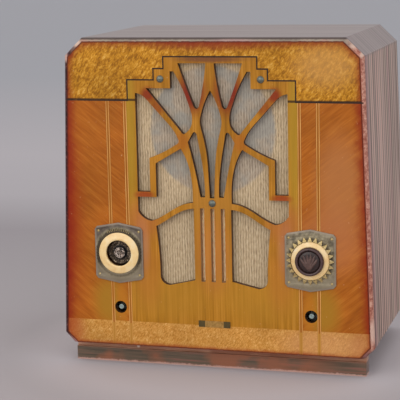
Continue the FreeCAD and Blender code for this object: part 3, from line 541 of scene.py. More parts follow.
@dataclass(frozen=True)
class FrontBoard(Finish):
    """Birch plywood: its cut walls are stained near black-brown, its rim is toned with the front and
    knocked pale at the corners, and its back is bare and dusty."""

    back_mm: float = FACE_MM + 7.8

    def lay(self, g: Graph, shader: Node) -> None:
        """Choose wall, rim or back by place."""
        place, parts = g.here()
        plies = g.noise(g.scaled(place, (0.05, 1.2, 0.05)), 1.0, 3.0)
        walls = g.ramp(plies, [(0.35, "#2A1710"), (0.65, "#5E3A1E")])
        # painted light: the walls in the cloth slots are made pale to lift the shade that the deep walls
        # cast there
        walls = g.tint(g.slots(parts), walls, "#B08C62")
        colour = worn_rim_with_painted_light(g, place, OUTLINE.depth(g, place, SHARP_FOOT_MM), walls)
        back = g.span(parts.y, self.back_mm, self.back_mm + 0.15)
        bare = g.grain(place, 90.0, (3.0, 60.0, 70.0), 3.0)
        raw = g.ramp(bare, [(0.3, "#9C7A50"), (0.7, "#B8966A")])
        colour = g.mix(back, colour, raw)
        self.show(shader, colour, 0.55)


@dataclass(frozen=True)
class CaseVeneer(Finish):
    """Walnut veneer wrapped round the case, with dark and pink pinstripes that run round it.

    The lacquer has gone grey and dry; the top is tinted grey as a painted sheen, and a dark gap follows the
    joint behind the front. The inner faces are bare plywood.
    """

    stops: tuple[tuple[float, str], ...]
    stripe_mm: float = 13.5
    wave_share: float = 0.7
    sheen_top_mm: float = 393.0
    joint_mm: float = FACE_MM + 11.6

    def lay(self, g: Graph, shader: Node) -> None:
        """Stripe by depth, paint a sheen on the top, darken the joint and bare the inside."""
        place, parts = g.here()
        # stripes one period apart, with finer lines between them
        lean = g.noise(place, 140.0, 2.0)
        moved = g.shift(lean, 9.0, parts.y)
        wave = g.math("SINE", g.math("MULTIPLY", moved, 2 * math.pi / self.stripe_mm))
        run = g.point(0.0, g.math("MULTIPLY", moved, 0.16), 0.0)
        slow = g.scaled(place, (0.003, 0.0, 0.003))
        fine = g.noise(g.vector("ADD", run, slow), 1.0, 3.0, rough=0.6)
        lines = g.shift(wave, 0.22 * self.wave_share, fine)
        colour = g.ramp(lines, self.stops)
        hue = g.noise(g.point(7.0, g.math("MULTIPLY", moved, 0.045), 0.0), 1.0, 2.0)
        colour = g.tint(g.span(hue, 0.55, 0.68, 0.0, 0.5), colour, "#A87E7C")
        colour = g.tint(g.span(hue, 0.42, 0.32, 0.0, 0.5), colour, "#827C68")
        # painted sheen: the top is tinted an even grey-mauve for the light that it reflects from above
        top = g.span(parts.z, self.sheen_top_mm, self.sheen_top_mm + 4.0, 0.0, 0.85)
        colour = g.tint(top, colour, "#786C6A")
        depth = OUTLINE.depth(g, place)
        chip = g.noise(place, 8.0, 4.0, rough=0.7)
        colour = g.tint(g.span(chip, 0.68, 0.72, 0.0, 0.4), colour, "#C4B0A6")
        joint = g.shift(chip, 2.5, parts.y)
        gap = g.span(joint, self.joint_mm, self.joint_mm + 1.8, 0.88, 0.0)
        colour = g.tint(gap, colour, "#2E2426")
        inside = g.span(depth, 1.0, 1.4)
        bare = g.noise(g.scaled(place, (0.02, 0.3, 0.02)), 1.0, 4.0)
        raw = g.ramp(bare, [(0.3, "#7E6244"), (0.7, "#A58861")])
        colour = g.mix(inside, colour, raw)
        rough = g.span(fine, 0.3, 0.7, 0.52, 0.42)
        bump = g.bump(0.12, 0.0004, fine)
        self.show(shader, colour, rough, bump, coat=0.08, coat_rough=0.35, specular=0.3)


@dataclass(frozen=True)
class PlinthPaint(Finish):
    """Solid wood under dark brown-green lacquer: mauve where the upper step catches light, and rubbed to
    pale wood along the lower edge."""

    step_mm: float = 16.8
    side_mm: float = FACE_MM + 14.0

    def lay(self, g: Graph, shader: Node) -> None:
        """Darken the lower step, then wear its edge."""
        place, parts = g.here()
        streak = g.noise(g.scaled(place, (0.02, 0.3, 0.5)), 1.0, 4.0)
        upper = g.ramp(streak, [(0.3, "#9A6A50"), (0.5, "#BC8666"), (0.7, "#CC9E84")])
        lower = g.ramp(streak, [(0.3, "#4C4232"), (0.55, "#685644"), (0.7, "#86584A")])
        step = g.span(parts.z, self.step_mm, self.step_mm + 1.2)
        colour = g.mix(step, lower, upper)
        side = g.span(parts.y, self.side_mm, self.side_mm + 20.0)
        colour = g.tint(g.math("MULTIPLY", side, 0.7), colour, "#82787A")
        red = g.noise(place, 60.0, 3.0)
        right = g.span(parts.x, -80.0, 60.0, 0.0, 0.1)
        reddened = g.span(g.math("ADD", red, right), 0.48, 0.6, 0.0, 0.75)
        reddened = g.math("MULTIPLY", reddened, g.span(parts.x, 110.0, 160.0, 1.0, 0.1))
        colour = g.tint(reddened, colour, "#9C5C3C")
        chip = g.noise(place, 5.0, 5.0, rough=0.7)
        edge = g.shift(chip, -5.5, parts.z)
        colour = g.tint(g.span(edge, -1.6, 0.0, 0.85, 0.0), colour, "#C9A092")
        scuff = g.span(chip, 0.7, 0.76, 0.0, 0.6)
        colour = g.tint(scuff, colour, "#B5A08C")
        fleck = one_patch(-107.0, 21.0, 3.0, 3.0, "#E8DCCC", 0.95)
        colour = g.tint(fleck.mask(g, place), colour, fleck.code)
        self.show(shader, colour, 0.5, coat=0.08, coat_rough=0.4)


# ---- materials: cloth, metal, plastic and the rest ----
@dataclass(frozen=True)
class GrilleWeave(Finish):
    """Beige rayon grille cloth with upright slub ribs. It has greyed in a disc where the loudspeaker
    breathes through it; elsewhere the baffle behind has kept it clean."""

    disc_x: float = 0.0
    disc_z: float = 303.7
    disc_radius: float = 80.0
    rib_mm: float = 3.3
    weft_mm: float = 0.9

    def lay(self, g: Graph, shader: Node) -> None:
        """Weave ribs and crossing threads, then grey the disc."""
        place = g.place()
        wander = g.noise(g.scaled(place, (0.1, 0.0, 0.05)), 1.0, 2.0)
        parts = g.split(place)
        moved = g.shift(wander, 3.4, parts.x)
        ribs = g.math("SINE", g.math("MULTIPLY", moved, 2 * math.pi / self.rib_mm))
        slub = g.grain(place, 0.0, (1.1, 60.0, 6.0), 3.0, 0.6)
        weft = g.math("SINE", g.math("MULTIPLY", parts.z, 2 * math.pi / self.weft_mm))
        lit = g.shift(ribs, 0.11, g.math("MULTIPLY", slub, 0.75))
        lit = g.shift(weft, 0.02, lit)
        clean = g.ramp(lit, [(0.12, "#8C775C"), (0.34, "#BCA480"), (0.62, "#DECBA8")])
        grey = g.ramp(lit, [(0.12, "#7A6E5E"), (0.34, "#A89782"), (0.62, "#C2B49E")])
        _, away = g.from_centre(place, self.disc_x, self.disc_z)
        ragged = g.shift(slub, 5.0, away)
        disc = g.span(ragged, self.disc_radius, self.disc_radius + 4.0, 1.0, 0.0)
        colour = g.mix(disc, clean, grey)
        cloud = g.noise(place, 32.0, 2.0)
        cool = g.math("MULTIPLY", disc, g.span(cloud, 0.46, 0.6, 0.0, 0.45))
        colour = g.tint(cool, colour, "#8A9290")
        # painted light: the cloth is made lighter in the slots, where the fret's walls shade it, and a
        # little lighter upwards from 205 mm
        upper = g.span(parts.z, 205.0, 240.0, 1.0, 1.09)
        lift_with_painted_slot_light = g.shift(g.slots(parts), 1.1, upper)
        colour = g.brighten(colour, lift_with_painted_slot_light)
        bump = g.bump(0.5, 0.0004, lit)
        self.show(shader, colour, 0.85, bump, sheen=0.25, sheen_rough=0.5, specular=0.3)


@dataclass(frozen=True)
class Mottled(Finish):
    """A plain material whose colour and gloss wander a little, as dust, tarnish and handling leave them."""

    stops: tuple[tuple[float, str], ...]
    mottle_mm: tuple[float, float, float] = (6.0,) * 3
    metallic: float = 0.0
    rough: tuple[float, float] = (0.35, 0.5)
    relief: float = 0.1
    relief_mm: float = 0.4
    coat: float = 0.0
    detail: float = 4.0

    def lay(self, g: Graph, shader: Node) -> None:
        """Mottle the colour and the roughness with one noise, and grain the surface with a finer one."""
        place = g.place()
        scale = tuple(1 / size for size in self.mottle_mm)
        mottle = g.noise(g.scaled(place, scale), 1.0, self.detail, rough=0.6)
        colour = g.ramp(mottle, self.stops)
        rough = g.span(mottle, 0.3, 0.7, *self.rough)
        fine = g.noise(place, self.relief_mm, 2.0)
        bump = g.bump(self.relief, 0.0002, fine)
        self.show(shader, colour, rough, bump, metallic=self.metallic, coat=self.coat, coat_rough=0.15)


@dataclass(frozen=True)
class DialPlate(Finish):
    """Pressed brass whose lacquer has gone: grey-green tarnish with a rubbed border, brown dirt round the
    ring and dark corners."""

    centre_x: float
    centre_z: float
    groove_mm: float
    dirt_share: float
    corner_share: float
    stops: tuple[tuple[float, str], ...]
    half_width: float = 31.8
    peak_height: float = 39.0
    corner_mm: float = 33.0

    def lay(self, g: Graph, shader: Node) -> None:
        """Tarnish the plate, darken its corners and groove, and rub its border."""
        place = g.place()
        mottle = g.noise(place, 7.0, 5.0, rough=0.65)
        colour = g.ramp(mottle, self.stops)
        flat, away = g.from_centre(place, self.centre_x, self.centre_z)
        ragged = g.shift(mottle, 3.0, away)
        rise = g.split(flat)
        low = g.span(rise.z, -12.0, -22.0, 0.0, 0.6)
        corner = g.span(ragged, self.corner_mm, self.corner_mm + 3.0, 0.0, self.corner_share)
        colour = g.tint(corner, colour, "#3E3034")
        dirty = g.span(ragged, self.groove_mm, self.groove_mm + 3.0, self.dirt_share, 0.0)
        colour = g.tint(dirty, colour, "#3A2E1A")
        colour = g.tint(low, colour, "#A4987E")
        aside = g.split(g.vector("ABSOLUTE", flat))
        slope = g.shift(aside.x, 0.19, aside.z)
        peak = g.math("ADD", slope, -(self.peak_height - self.half_width))
        border = g.math("MAXIMUM", aside.x, peak)
        rubbed = g.span(border, self.half_width - 2.6, self.half_width - 1.4, 0.0, 0.6)
        colour = g.tint(rubbed, colour, "#9C8E80")
        metal = g.span(mottle, 0.35, 0.65, 0.2, 0.5)
        fine = g.noise(place, 0.8, 2.0)
        bump = g.bump(0.15, 0.0002, fine)
        self.show(shader, colour, 0.42, bump, metallic=metal)


@dataclass(frozen=True)
class HubFace(Finish):
    """The bare end of the slow-motion drive: plated steel rubbed bright in the middle, a black ring of
    painted shade in the gap round it, and greasy speckled metal outside."""

    centre_x: float = -123.6
    centre_z: float = 146.4
    spindle_mm: float = 7.4
    shaded_gap_mm: float = 10.0

    def lay(self, g: Graph, shader: Node) -> None:
        """Colour three zones by their distance from the spindle."""
        place = g.place()
        _, away = g.from_centre(place, self.centre_x, self.centre_z)
        speck = g.noise(place, 2.2, 3.0, rough=0.6)
        ragged = g.shift(speck, 1.6, away)
        swirl = g.noise(place, 4.5, 1.0, stir=2.2)
        middle = g.ramp(swirl, [(0.42, "#241C16"), (0.5, "#A8988A"), (0.62, "#E6D8CC")])
        outside = g.ramp(speck, [(0.38, "#241A12"), (0.5, "#463A2C"), (0.6, "#746450"), (0.68, "#C8B8A0")])
        # painted shade: a near-black ring stands for the dark gap round the spindle
        colour = g.mix(g.span(ragged, self.spindle_mm, self.spindle_mm + 0.6), middle, tone("#0E0B09"))
        colour = g.mix(g.span(ragged, self.shaded_gap_mm, self.shaded_gap_mm + 0.8), colour, outside)
        bump = g.bump(0.4, 0.0003, speck)
        self.show(shader, colour, 0.42, bump, metallic=0.35)


@dataclass(frozen=True)
class KnobWearAndHighlight(Finish):
    """Brown phenolic moulding whose raised parts are handled dull and pale and carry a painted highlight,
    dark between them.
    """

    centre_x: float = 123.6
    centre_z: float = 146.4
    front_mm: float = FACE_MM - 10.5
    crown_mm: float = 13.8

    def lay(self, g: Graph, shader: Node) -> None:
        """Lighten what stands out in front, as wear and as a painted highlight, and fill the pointer's
        notch.
        """
        place, parts = g.here()
        mottle = g.noise(place, 4.0, 4.0, rough=0.6)
        low = g.ramp(mottle, [(0.3, "#20120F"), (0.7, "#3A2622")])
        high = g.ramp(mottle, [(0.3, "#422C26"), (0.7, "#6C5148")])
        # the raised parts are lighter, both as handling wear and as a painted highlight
        worn_and_lit_forward = g.span(parts.y, self.front_mm + 0.95, self.front_mm + 0.25)
        colour = g.mix(worn_and_lit_forward, low, high)
        _, away = g.from_centre(place, self.centre_x, self.centre_z)
        colour = g.tint(g.span(away, self.crown_mm, self.crown_mm + 0.8, 0.0, 0.8), colour, "#4A3432")
        notch = one_patch(self.centre_x, self.centre_z + 14.2, 1.8, 3.6, "#1A0E0C", 0.9)
        colour = g.tint(notch.mask(g, place), colour, notch.code)
        rough = g.span(mottle, 0.3, 0.7, 0.3, 0.46)
        self.show(shader, colour, rough, coat=0.15, coat_rough=0.2)


@dataclass(frozen=True)
class BarePlate(Finish):
    """A small brass plate, worn, with a black-filled end at each side and nothing on its middle."""

    half_length_mm: float = 20.5
    end_mm: float = 8.5

    def lay(self, g: Graph, shader: Node) -> None:
        """Fill the two ends and leave the middle bare."""
        place, parts = g.here()
        across = g.size(parts.x)
        mottle = g.noise(place, 2.5, 3.0)
        colour = g.ramp(mottle, [(0.3, "#9A7434"), (0.7, "#C09552")])
        edge = self.half_length_mm - self.end_mm
        ragged = g.shift(mottle, 1.2, across)
        filled = g.span(ragged, edge + 0.4, edge + 1.0, 0.0, 0.85)
        colour = g.tint(filled, colour, "#3B3A22")
        self.show(shader, colour, 0.5, metallic=0.45)


@dataclass(frozen=True)
class BulbGlass(Finish):
    """Thin soda glass with a smoky silver getter flash inside its crown."""

    flash_mm: float = 196.0

    def lay(self, g: Graph, shader: Node) -> None:
        """Clear below, mirrored grey above."""
        place, parts = g.here()
        ragged = g.shift(g.noise(place, 14.0), 12.0, parts.z)
        flash = g.span(ragged, self.flash_mm, self.flash_mm + 12.0)
        colour = g.mix(flash, tone("#F2F5F2"), tone("#6A6864"))
        clear = g.span(flash, 0.0, 1.0, 0.95, 0.0)
        self.show(shader, colour, 0.06, metallic=flash, clear=clear, ior=1.5)


@dataclass(frozen=True)
class StudioFloor(Finish):
    """Matt paper under and behind the set, with a painted shadow band behind the set and a painted pool of
    light round it.
    """

    def lay(self, g: Graph, shader: Node) -> None:
        """Colour the paper by its distance behind the set, in metres, and paint light round the set's foot.
        """
        place = add(g.tree, "TexCoord")
        parts = g.split(place.outputs["Object"])
        far = g.span(parts.y, -0.4, 3.6)
        # painted shadow: the ramp darkens in a band from about 0.3 to 1 m behind the set
        colour = g.ramp(far, [(0.0, "#ADA6A7"), (0.17, "#A39D9E"), (0.27, "#9B9597"), (0.36, "#B0ABAD"),
                              (0.5, "#B6B1B3"), (1.0, "#AAAAAE")])
        # painted light: a paler pool round the set's foot takes out the contact shadow
        near = g.ease(g.vector("LENGTH", place.outputs["Object"]), 0.22, 0.32, 0.5, 0.0)
        colour = g.tint(near, colour, "#CEC6C8")
        self.show(shader, colour, 0.9, specular=0.1)


GOLD = ((0.0, "#6E4406"), (0.35, "#A66C10"), (0.62, "#CE8F22"), (1.0, "#EEBE62"))
TOP_BAND = FrontVeneer(
    "lacquered_quilted_maple", Figure.QUILTED, GOLD, edge_code="#8E2E10", edge_mm=12.0, patches=(
        Patch(0.0, 418.0, 120.0, 22.0, "#8E3414", 0.75),
        # the pale patch on the right of the top band is a painted sheen of the light from the upper right
        one_patch(145.0, 385.0, 60.0, 40.0, "#D09A54", 0.6)))
BOTTOM_BAND = FrontVeneer(
    "lacquered_mottled_maple", Figure.QUILTED,
    ((0.0, "#9E6620"), (0.4, "#C88A3A"), (0.7, "#DCA456"), (1.0, "#EEC282")),
    edge_code="#A04A24", edge_mm=6.0, fine_share=0.65, patches=(
        Patch(188.0, 40.0, 24.0, 40.0, "#B8683A", 0.5),
        one_patch(140.0, 40.0, 80.0, 30.0, "#D89C68", 0.5),
        one_patch(-200.0, 60.0, 30.0, 60.0, "#A8380F", 0.6)))
SIDE_FIELDS = FrontVeneer(
    "lacquered_ribbon_mahogany", Figure.RIBBON,
    ((0.0, "#9A5210"), (0.4, "#AC5E14"), (0.7, "#BA6C1E"), (1.0, "#C67E2E")),
    edge_code="#8C1E0A", edge_mm=15.0, patches=(
        one_patch(-200.0, 200.0, 40.0, 230.0, "#A0300C", 0.8),
        one_patch(160.0, 240.0, 44.0, 90.0, "#C07E48", 0.7),
        one_patch(150.0, 170.0, 60.0, 60.0, "#C07848", 0.6),
        Patch(138.0, 82.0, 32.0, 48.0, "#AE7C22", 0.95),
        Patch(122.0, 82.0, 12.0, 40.0, "#C2781E", 0.8)))
CENTRE_PANEL = FrontVeneer(
    "lacquered_straight_walnut", Figure.STRAIGHT,
    ((0.0, "#8E5C12"), (0.4, "#AE7418"), (0.7, "#C08228"), (1.0, "#CE943C")),
    edge_code="#8E2E10", edge_mm=8.0, patches=(
        Patch(23.0, 352.0, 26.0, 40.0, "#842A14", 1.0),
        Patch(0.0, 392.0, 62.0, 6.0, "#7C4C2C", 0.9),
        Patch(93.0, 155.0, 14.0, 56.0, "#BC8660", 0.85),
        Patch(80.0, 348.0, 14.0, 14.0, "#8A2A12", 0.9),
        Patch(68.0, 333.0, 14.0, 14.0, "#8A2A12", 0.6),
        Patch(105.0, 300.0, 12.0, 150.0, "#B48C26", 0.8),
        Patch(60.0, 95.0, 90.0, 50.0, "#BC8628", 0.6),
        Patch(12.0, 215.0, 26.0, 40.0, "#BE8230", 0.6),
        Patch(88.0, 222.0, 18.0, 8.0, "#9A3412", 0.85),
        Patch(38.0, 290.0, 16.0, 18.0, "#B4601A", 0.5),
        Patch(92.0, 190.0, 34.0, 40.0, "#C07038", 0.6),
        Patch(0.0, 150.0, 34.0, 70.0, "#C67E38", 0.7),
        Patch(86.0, 120.0, 26.0, 60.0, "#BE742A", 0.5)))
INLAY = InlayLines("lacquered_boxwood_lines")
# dyed pearwood: almost black-brown, dull, broken here and there
STRINGING = Mottled("dyed_pearwood_stringing", ((0.3, "#1A0D06"), (0.6, "#2E1A0C"), (0.85, "#7A4E24")),
                    mottle_mm=(9.0,) * 3, rough=(0.7, 0.85))
BOARD = FrontBoard("stained_birch_plywood")
CASE = CaseVeneer("aged_walnut_case_veneer", (
    (0.31, "#5C473E"), (0.42, "#836C60"), (0.5, "#A0887A"), (0.58, "#B89E8E"), (0.69, "#D0A898")))
FRONT_FRAME = CaseVeneer("toned_front_frame", (
    (0.3, "#7C5650"), (0.5, "#A07A74"), (0.7, "#B48E86")), stripe_mm=16.0)
PLINTH = PlinthPaint("worn_plinth_lacquer")
CLOTH = GrilleWeave("ribbed_grille_cloth")
TARNISH = ((0.3, "#544E3C"), (0.44, "#82775C"), (0.56, "#9E9276"), (0.72, "#B8AC90"))
LEFT_PLATE = DialPlate("tarnished_left_plate", -123.6, 146.4, 31.0, 0.88, 0.7, TARNISH)
RIGHT_PLATE = DialPlate("tarnished_right_plate", 123.6, 146.4, 28.5, 0.8, 0.25, TARNISH)
# brass rays and nails: yellow metal browned in its hollows
BRASS = Mottled("tarnished_brass", ((0.3, "#A08A54"), (0.55, "#CDB47A"), (0.75, "#EAD8A6")),
                mottle_mm=(2.5,) * 3, metallic=0.5, rough=(0.3, 0.5))
NAMEPLATE = BarePlate("bare_brass_nameplate")
# urea plastic: creamy, glossy, yellower where light has aged it
IVORY = Mottled("aged_ivory_urea", ((0.3, "#F4CA88"), (0.5, "#FFDE9E"), (0.75, "#FFEEC6")),
                mottle_mm=(14.0,) * 3, rough=(0.28, 0.38), relief=0.04, coat=0.3)
BAKELITE = KnobWearAndHighlight("handled_phenolic_painted_highlight")
# turned steel with grey-green oxide, made paler as painted light where it sits in the shaded holes
SHAFT = Mottled("oxidised_steel_painted_light", ((0.3, "#748682"), (0.55, "#A4B6B0"), (0.8, "#CCD8D2")),
                mottle_mm=(2.0,) * 3, metallic=0.45, rough=(0.3, 0.5))
HUB = HubFace("rubbed_drive_face")
# zinc-plated screws and nuts
FASTENER = Mottled("dull_zinc", ((0.3, "#5A605A"), (0.6, "#80867E"), (0.8, "#A4A69A")),
                   mottle_mm=(3.0,) * 3, metallic=0.8, rough=(0.3, 0.45))
# nuts gone matt under dust and fingermarks, made paler still as painted light in the shaded holes
NUTS = Mottled("dusty_nuts_painted_light", ((0.3, "#948A86"), (0.6, "#C0B6B4"), (0.8, "#D8CECC")),
               mottle_mm=(3.0,) * 3, metallic=0.15, rough=(0.5, 0.65))
# cadmium-plated sheet: soft grey metal with dust and thumb marks
SHEET_STEEL = Mottled("cadmium_plated_sheet", ((0.3, "#7C7A72"), (0.5, "#9C9A92"), (0.75, "#B6B4AC")),
                      mottle_mm=(22.0,) * 3, metallic=0.85, rough=(0.32, 0.5))
# drawn aluminium cans, brushed round by handling
CAN = Mottled("drawn_aluminium", ((0.3, "#A4A4A2"), (0.6, "#BEBEBC"), (0.8, "#CFCFCC")),
              mottle_mm=(5.0, 5.0, 30.0), metallic=0.95, rough=(0.25, 0.4))
# sheet aluminium vanes
VANES = Mottled("sheet_aluminium", ((0.3, "#B2B2B0"), (0.7, "#CACAC8")), mottle_mm=(9.0,) * 3,
                metallic=0.95, rough=(0.28, 0.4))
# iron parts under black stove enamel, mottled with dust
ENAMEL = Mottled("dusty_black_enamel", ((0.3, "#1C1C1E"), (0.55, "#2C2C2E"), (0.8, "#4C4944")),
                 mottle_mm=(12.0,) * 3, rough=(0.35, 0.6))
# stacked iron stampings, edge on: fine lines and rust
STACK = Mottled("varnished_iron_stampings", ((0.3, "#2C2A2A"), (0.55, "#4A4440"), (0.75, "#6E4E3A")),
                mottle_mm=(30.0, 0.9, 30.0), metallic=0.4, rough=(0.45, 0.65), relief=0.3)
# varnished paper over windings
WINDING = Mottled("varnished_winding_paper", ((0.3, "#5E3A1C"), (0.55, "#7E5228"), (0.8, "#9C6E3A")),
                  mottle_mm=(14.0, 14.0, 5.0), rough=(0.4, 0.6))
# felted black-brown cone paper
CONE = Mottled("felted_cone_paper", ((0.3, "#25211D"), (0.6, "#3A342E"), (0.8, "#4C453C")),
               mottle_mm=(4.0,) * 3, rough=(0.85, 0.95), relief=0.5, relief_mm=0.8)
# grey-brown pressed board
GASKET = Mottled("pressed_board", ((0.3, "#5E5140"), (0.6, "#776850"), (0.8, "#8C7C62")),
                 mottle_mm=(5.0,) * 3, rough=(0.8, 0.9), relief=0.4)
# resin-bonded paper laminate
LAMINATE = Mottled("brown_laminate", ((0.3, "#3C2413"), (0.6, "#54341C"), (0.8, "#684426")),
                   mottle_mm=(3.0, 3.0, 12.0), rough=(0.35, 0.5))
# black phenolic valve bases
BASE = Mottled("black_phenolic", ((0.3, "#141210"), (0.6, "#221D1A"), (0.8, "#332D28")),
               mottle_mm=(6.0,) * 3, rough=(0.25, 0.4), coat=0.2)
GLASS = BulbGlass("valve_glass_and_getter")
# carbonised nickel
ELECTRODE = Mottled("carbonised_nickel", ((0.3, "#1E1E1E"), (0.6, "#343434"), (0.8, "#5A5A5A")),
                    mottle_mm=(5.0,) * 3, metallic=0.6, rough=(0.5, 0.7))
RUBBER = Mottled("black_rubber", ((0.3, "#161616"), (0.8, "#2A2A28")), rough=(0.6, 0.75), relief=0.3)
FLOOR = StudioFloor("studio_paper")


# ---- modelling: shared steps ----
def clear_selection() -> None:
    """Leave edit mode and select nothing."""
    if bpy.context.object and bpy.context.object.mode != "OBJECT":
        bpy.ops.object.mode_set(mode="OBJECT")
    bpy.ops.object.select_all(action="DESELECT")


def placed(name: str, data: bpy.types.ID) -> Object:
    """Make an object for a mesh, lamp or camera and put it in the scene."""
    piece = bpy.data.objects.new(name, data)
    bpy.context.scene.collection.objects.link(piece)
    return piece


def pick(piece: Object) -> None:
    """Select one object and make it the active one."""
    clear_selection()
    piece.select_set(True)
    bpy.context.view_layer.objects.active = piece


def round_mm(node: str) -> tuple[float, float]:
    """A round CAD node's radius and its depth along Y, in millimetres."""
    low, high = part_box(node)
    return (high.x - low.x) / 2 / MM, (high.y - low.y) / MM


def turned(name: str, node: str, profile: Sequence[Point], ring: bool = False, sides: int = 96) -> Object:
    """Turn a piece in a round CAD node's place, one extruded step at a time.

    Args:
        name: The new object's name.
        node: The CAD node, whose axis runs along Y.
        profile: Each step's radius and its distance behind the node's front, in millimetres.
        ring: True joins the last step to the first, as on a ring; False caps both ends.
        sides: Steps round the circle.

    Returns:
        The new object, with its place in its mesh.
    """
    clear_selection()
    front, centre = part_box(node)[0].y, centre_of(node).xz
    (radius, y), *steps = [(radius * MM, front + behind * MM) for radius, behind in profile]
    bpy.ops.mesh.primitive_circle_add(vertices=sides, radius=radius, location=(centre[0], y, centre[1]),
                                      rotation=(math.pi / 2, 0, 0))
    piece = bpy.context.object
    piece.name = name
    bpy.ops.object.transform_apply(location=True, rotation=True, scale=True)
    bpy.ops.object.mode_set(mode="EDIT")
    bpy.ops.mesh.select_all(action="SELECT")
    for next_radius, next_y in steps:
        bpy.ops.mesh.extrude_region_move(TRANSFORM_OT_translate={"value": (0, next_y - y, 0)})
        ratio = next_radius / radius
        bpy.ops.transform.resize(value=(ratio, 1, ratio), center_override=(centre[0], next_y, centre[1]))
        radius, y = next_radius, next_y
    bpy.ops.mesh.select_all(action="DESELECT")
    bpy.ops.mesh.select_non_manifold(extend=False, use_wire=False, use_boundary=True)
    if ring:
        bpy.ops.mesh.bridge_edge_loops()
    else:
        bpy.ops.mesh.select_all(action="SELECT")
        bpy.ops.mesh.fill_holes(sides=0)
    bpy.ops.mesh.select_all(action="SELECT")
    bpy.ops.mesh.normals_make_consistent(inside=False)
    bpy.ops.object.mode_set(mode="OBJECT")
    return piece


def eased(name: str, node: str, width: float, segments: int = 2) -> Object:
    """Copy a CAD node as one merged mesh and round its edges.

    Args:
        name: The new object's name.
        node: The CAD node to copy.
        width: The rounding's width in metres; zero leaves the edges sharp.
        segments: Steps across the rounding.

    Returns:
        The new object.
    """
    piece = placed(name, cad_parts[node].data.copy())
    pick(piece)
    bpy.ops.mesh.customdata_custom_splitnormals_clear()
    bpy.ops.object.mode_set(mode="EDIT")
    bpy.ops.mesh.select_all(action="SELECT")
    bpy.ops.mesh.remove_doubles(threshold=2e-6)
    bpy.ops.mesh.dissolve_limited(angle_limit=math.radians(1.0))
    bpy.ops.object.mode_set(mode="OBJECT")
    soften(piece, width, segments)
    return piece


def shape(piece: Object, kind: str, **settings) -> None:
    """Put one modifier on a piece, the active object, and apply it."""
    modifier = piece.modifiers.new(kind.lower(), kind)
    for key, value in settings.items():
        setattr(modifier, key, value)
    bpy.ops.object.modifier_apply(modifier=modifier.name)


def soften(piece: Object, width: float, segments: int = 2, angle_deg: float = 32.0) -> None:
    """Bevel a piece's edges, apply that, and shade it smooth between its edges."""
    pick(piece)
    if width > 0:
        shape(piece, "BEVEL", width=width, segments=segments, limit_method="ANGLE",
              angle_limit=math.radians(angle_deg), use_clamp_overlap=True)
    bpy.ops.object.shade_smooth_by_angle(angle=math.radians(angle_deg))


def join(pieces: Sequence[Object]) -> Object:
    """Join pieces into the first one and return it."""
    clear_selection()
    for piece in pieces:
        piece.select_set(True)
    bpy.context.view_layer.objects.active = pieces[0]
    bpy.ops.object.join()
    return bpy.context.object


def dress(piece: Object, finish: Finish) -> None:
    """Give a piece one finish all over."""
    if not piece.material_slots:
        piece.data.materials.append(finish.material())
    for slot in piece.material_slots:
        slot.material = finish.material()


def settle(piece: Object, finish: Finish, body: str, slot: str, *nodes: str) -> Object:
    """Dress a new piece and tie it to the frame.

    Args:
        piece: The finished mesh object.
        finish: Its material.
        body: The CAD body that it moves with.
        slot: Not used.
        nodes: The CAD nodes that it stands for.

    Returns:
        The same piece.
    """
    piece.data.materials.clear()
    piece.data.materials.append(finish.material())
    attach(piece, body)
    if nodes:
        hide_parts(*nodes)
    logging.info("made %s: %d faces", piece.name, len(piece.data.polygons))
    return piece


def moved(piece: Object, *steps: Matrix) -> Object:
    """Put a piece's mesh through some matrices, one after another, and return the piece."""
    for step in steps:
        piece.data.transform(step)
    return piece


def centre_of(node: str) -> Vector:
    """The middle of a CAD node's box."""
    low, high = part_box(node)
    return (low + high) / 2


class Assembly:
    """A group of CAD nodes with their finishes, and the new pieces that go with them."""

    finishes: dict[str, Finish] = {}

    def build(self) -> None:
        """Dress the CAD nodes, then make this group's own pieces."""
        for node, finish in self.finishes.items():
            dress(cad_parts[node], finish)
            logging.info("dressed %s with %s", node, finish.name)
        self.model()

    def model(self) -> None:
        """Make this group's new pieces; a group with none leaves it so."""


# ---- the set's sub-assemblies ----
@dataclass
class FrontPanel(Assembly):
    """The board with its veneers, lines and nameplate."""

    finishes = {
        "front_board": BOARD, "veneer_top_band": TOP_BAND, "veneer_centre_panel": CENTRE_PANEL,
        "veneer_side_fields": SIDE_FIELDS, "veneer_bottom_band": BOTTOM_BAND, "border_stringing": STRINGING,
        "inlay_strips": INLAY, "nameplate": NAMEPLATE,
    }


@dataclass
class Cabinet(Assembly):
    """The case's walls, the front frame and the plinth."""

    finishes = {
        "front_frame": FRONT_FRAME, "cabinet_left_side": CASE, "cabinet_right_side": CASE,
        "cabinet_top": CASE, "cabinet_bottom": CASE, "cabinet_corners": CASE, "plinth_front": PLINTH,
        "plinth_rails": PLINTH,
    }


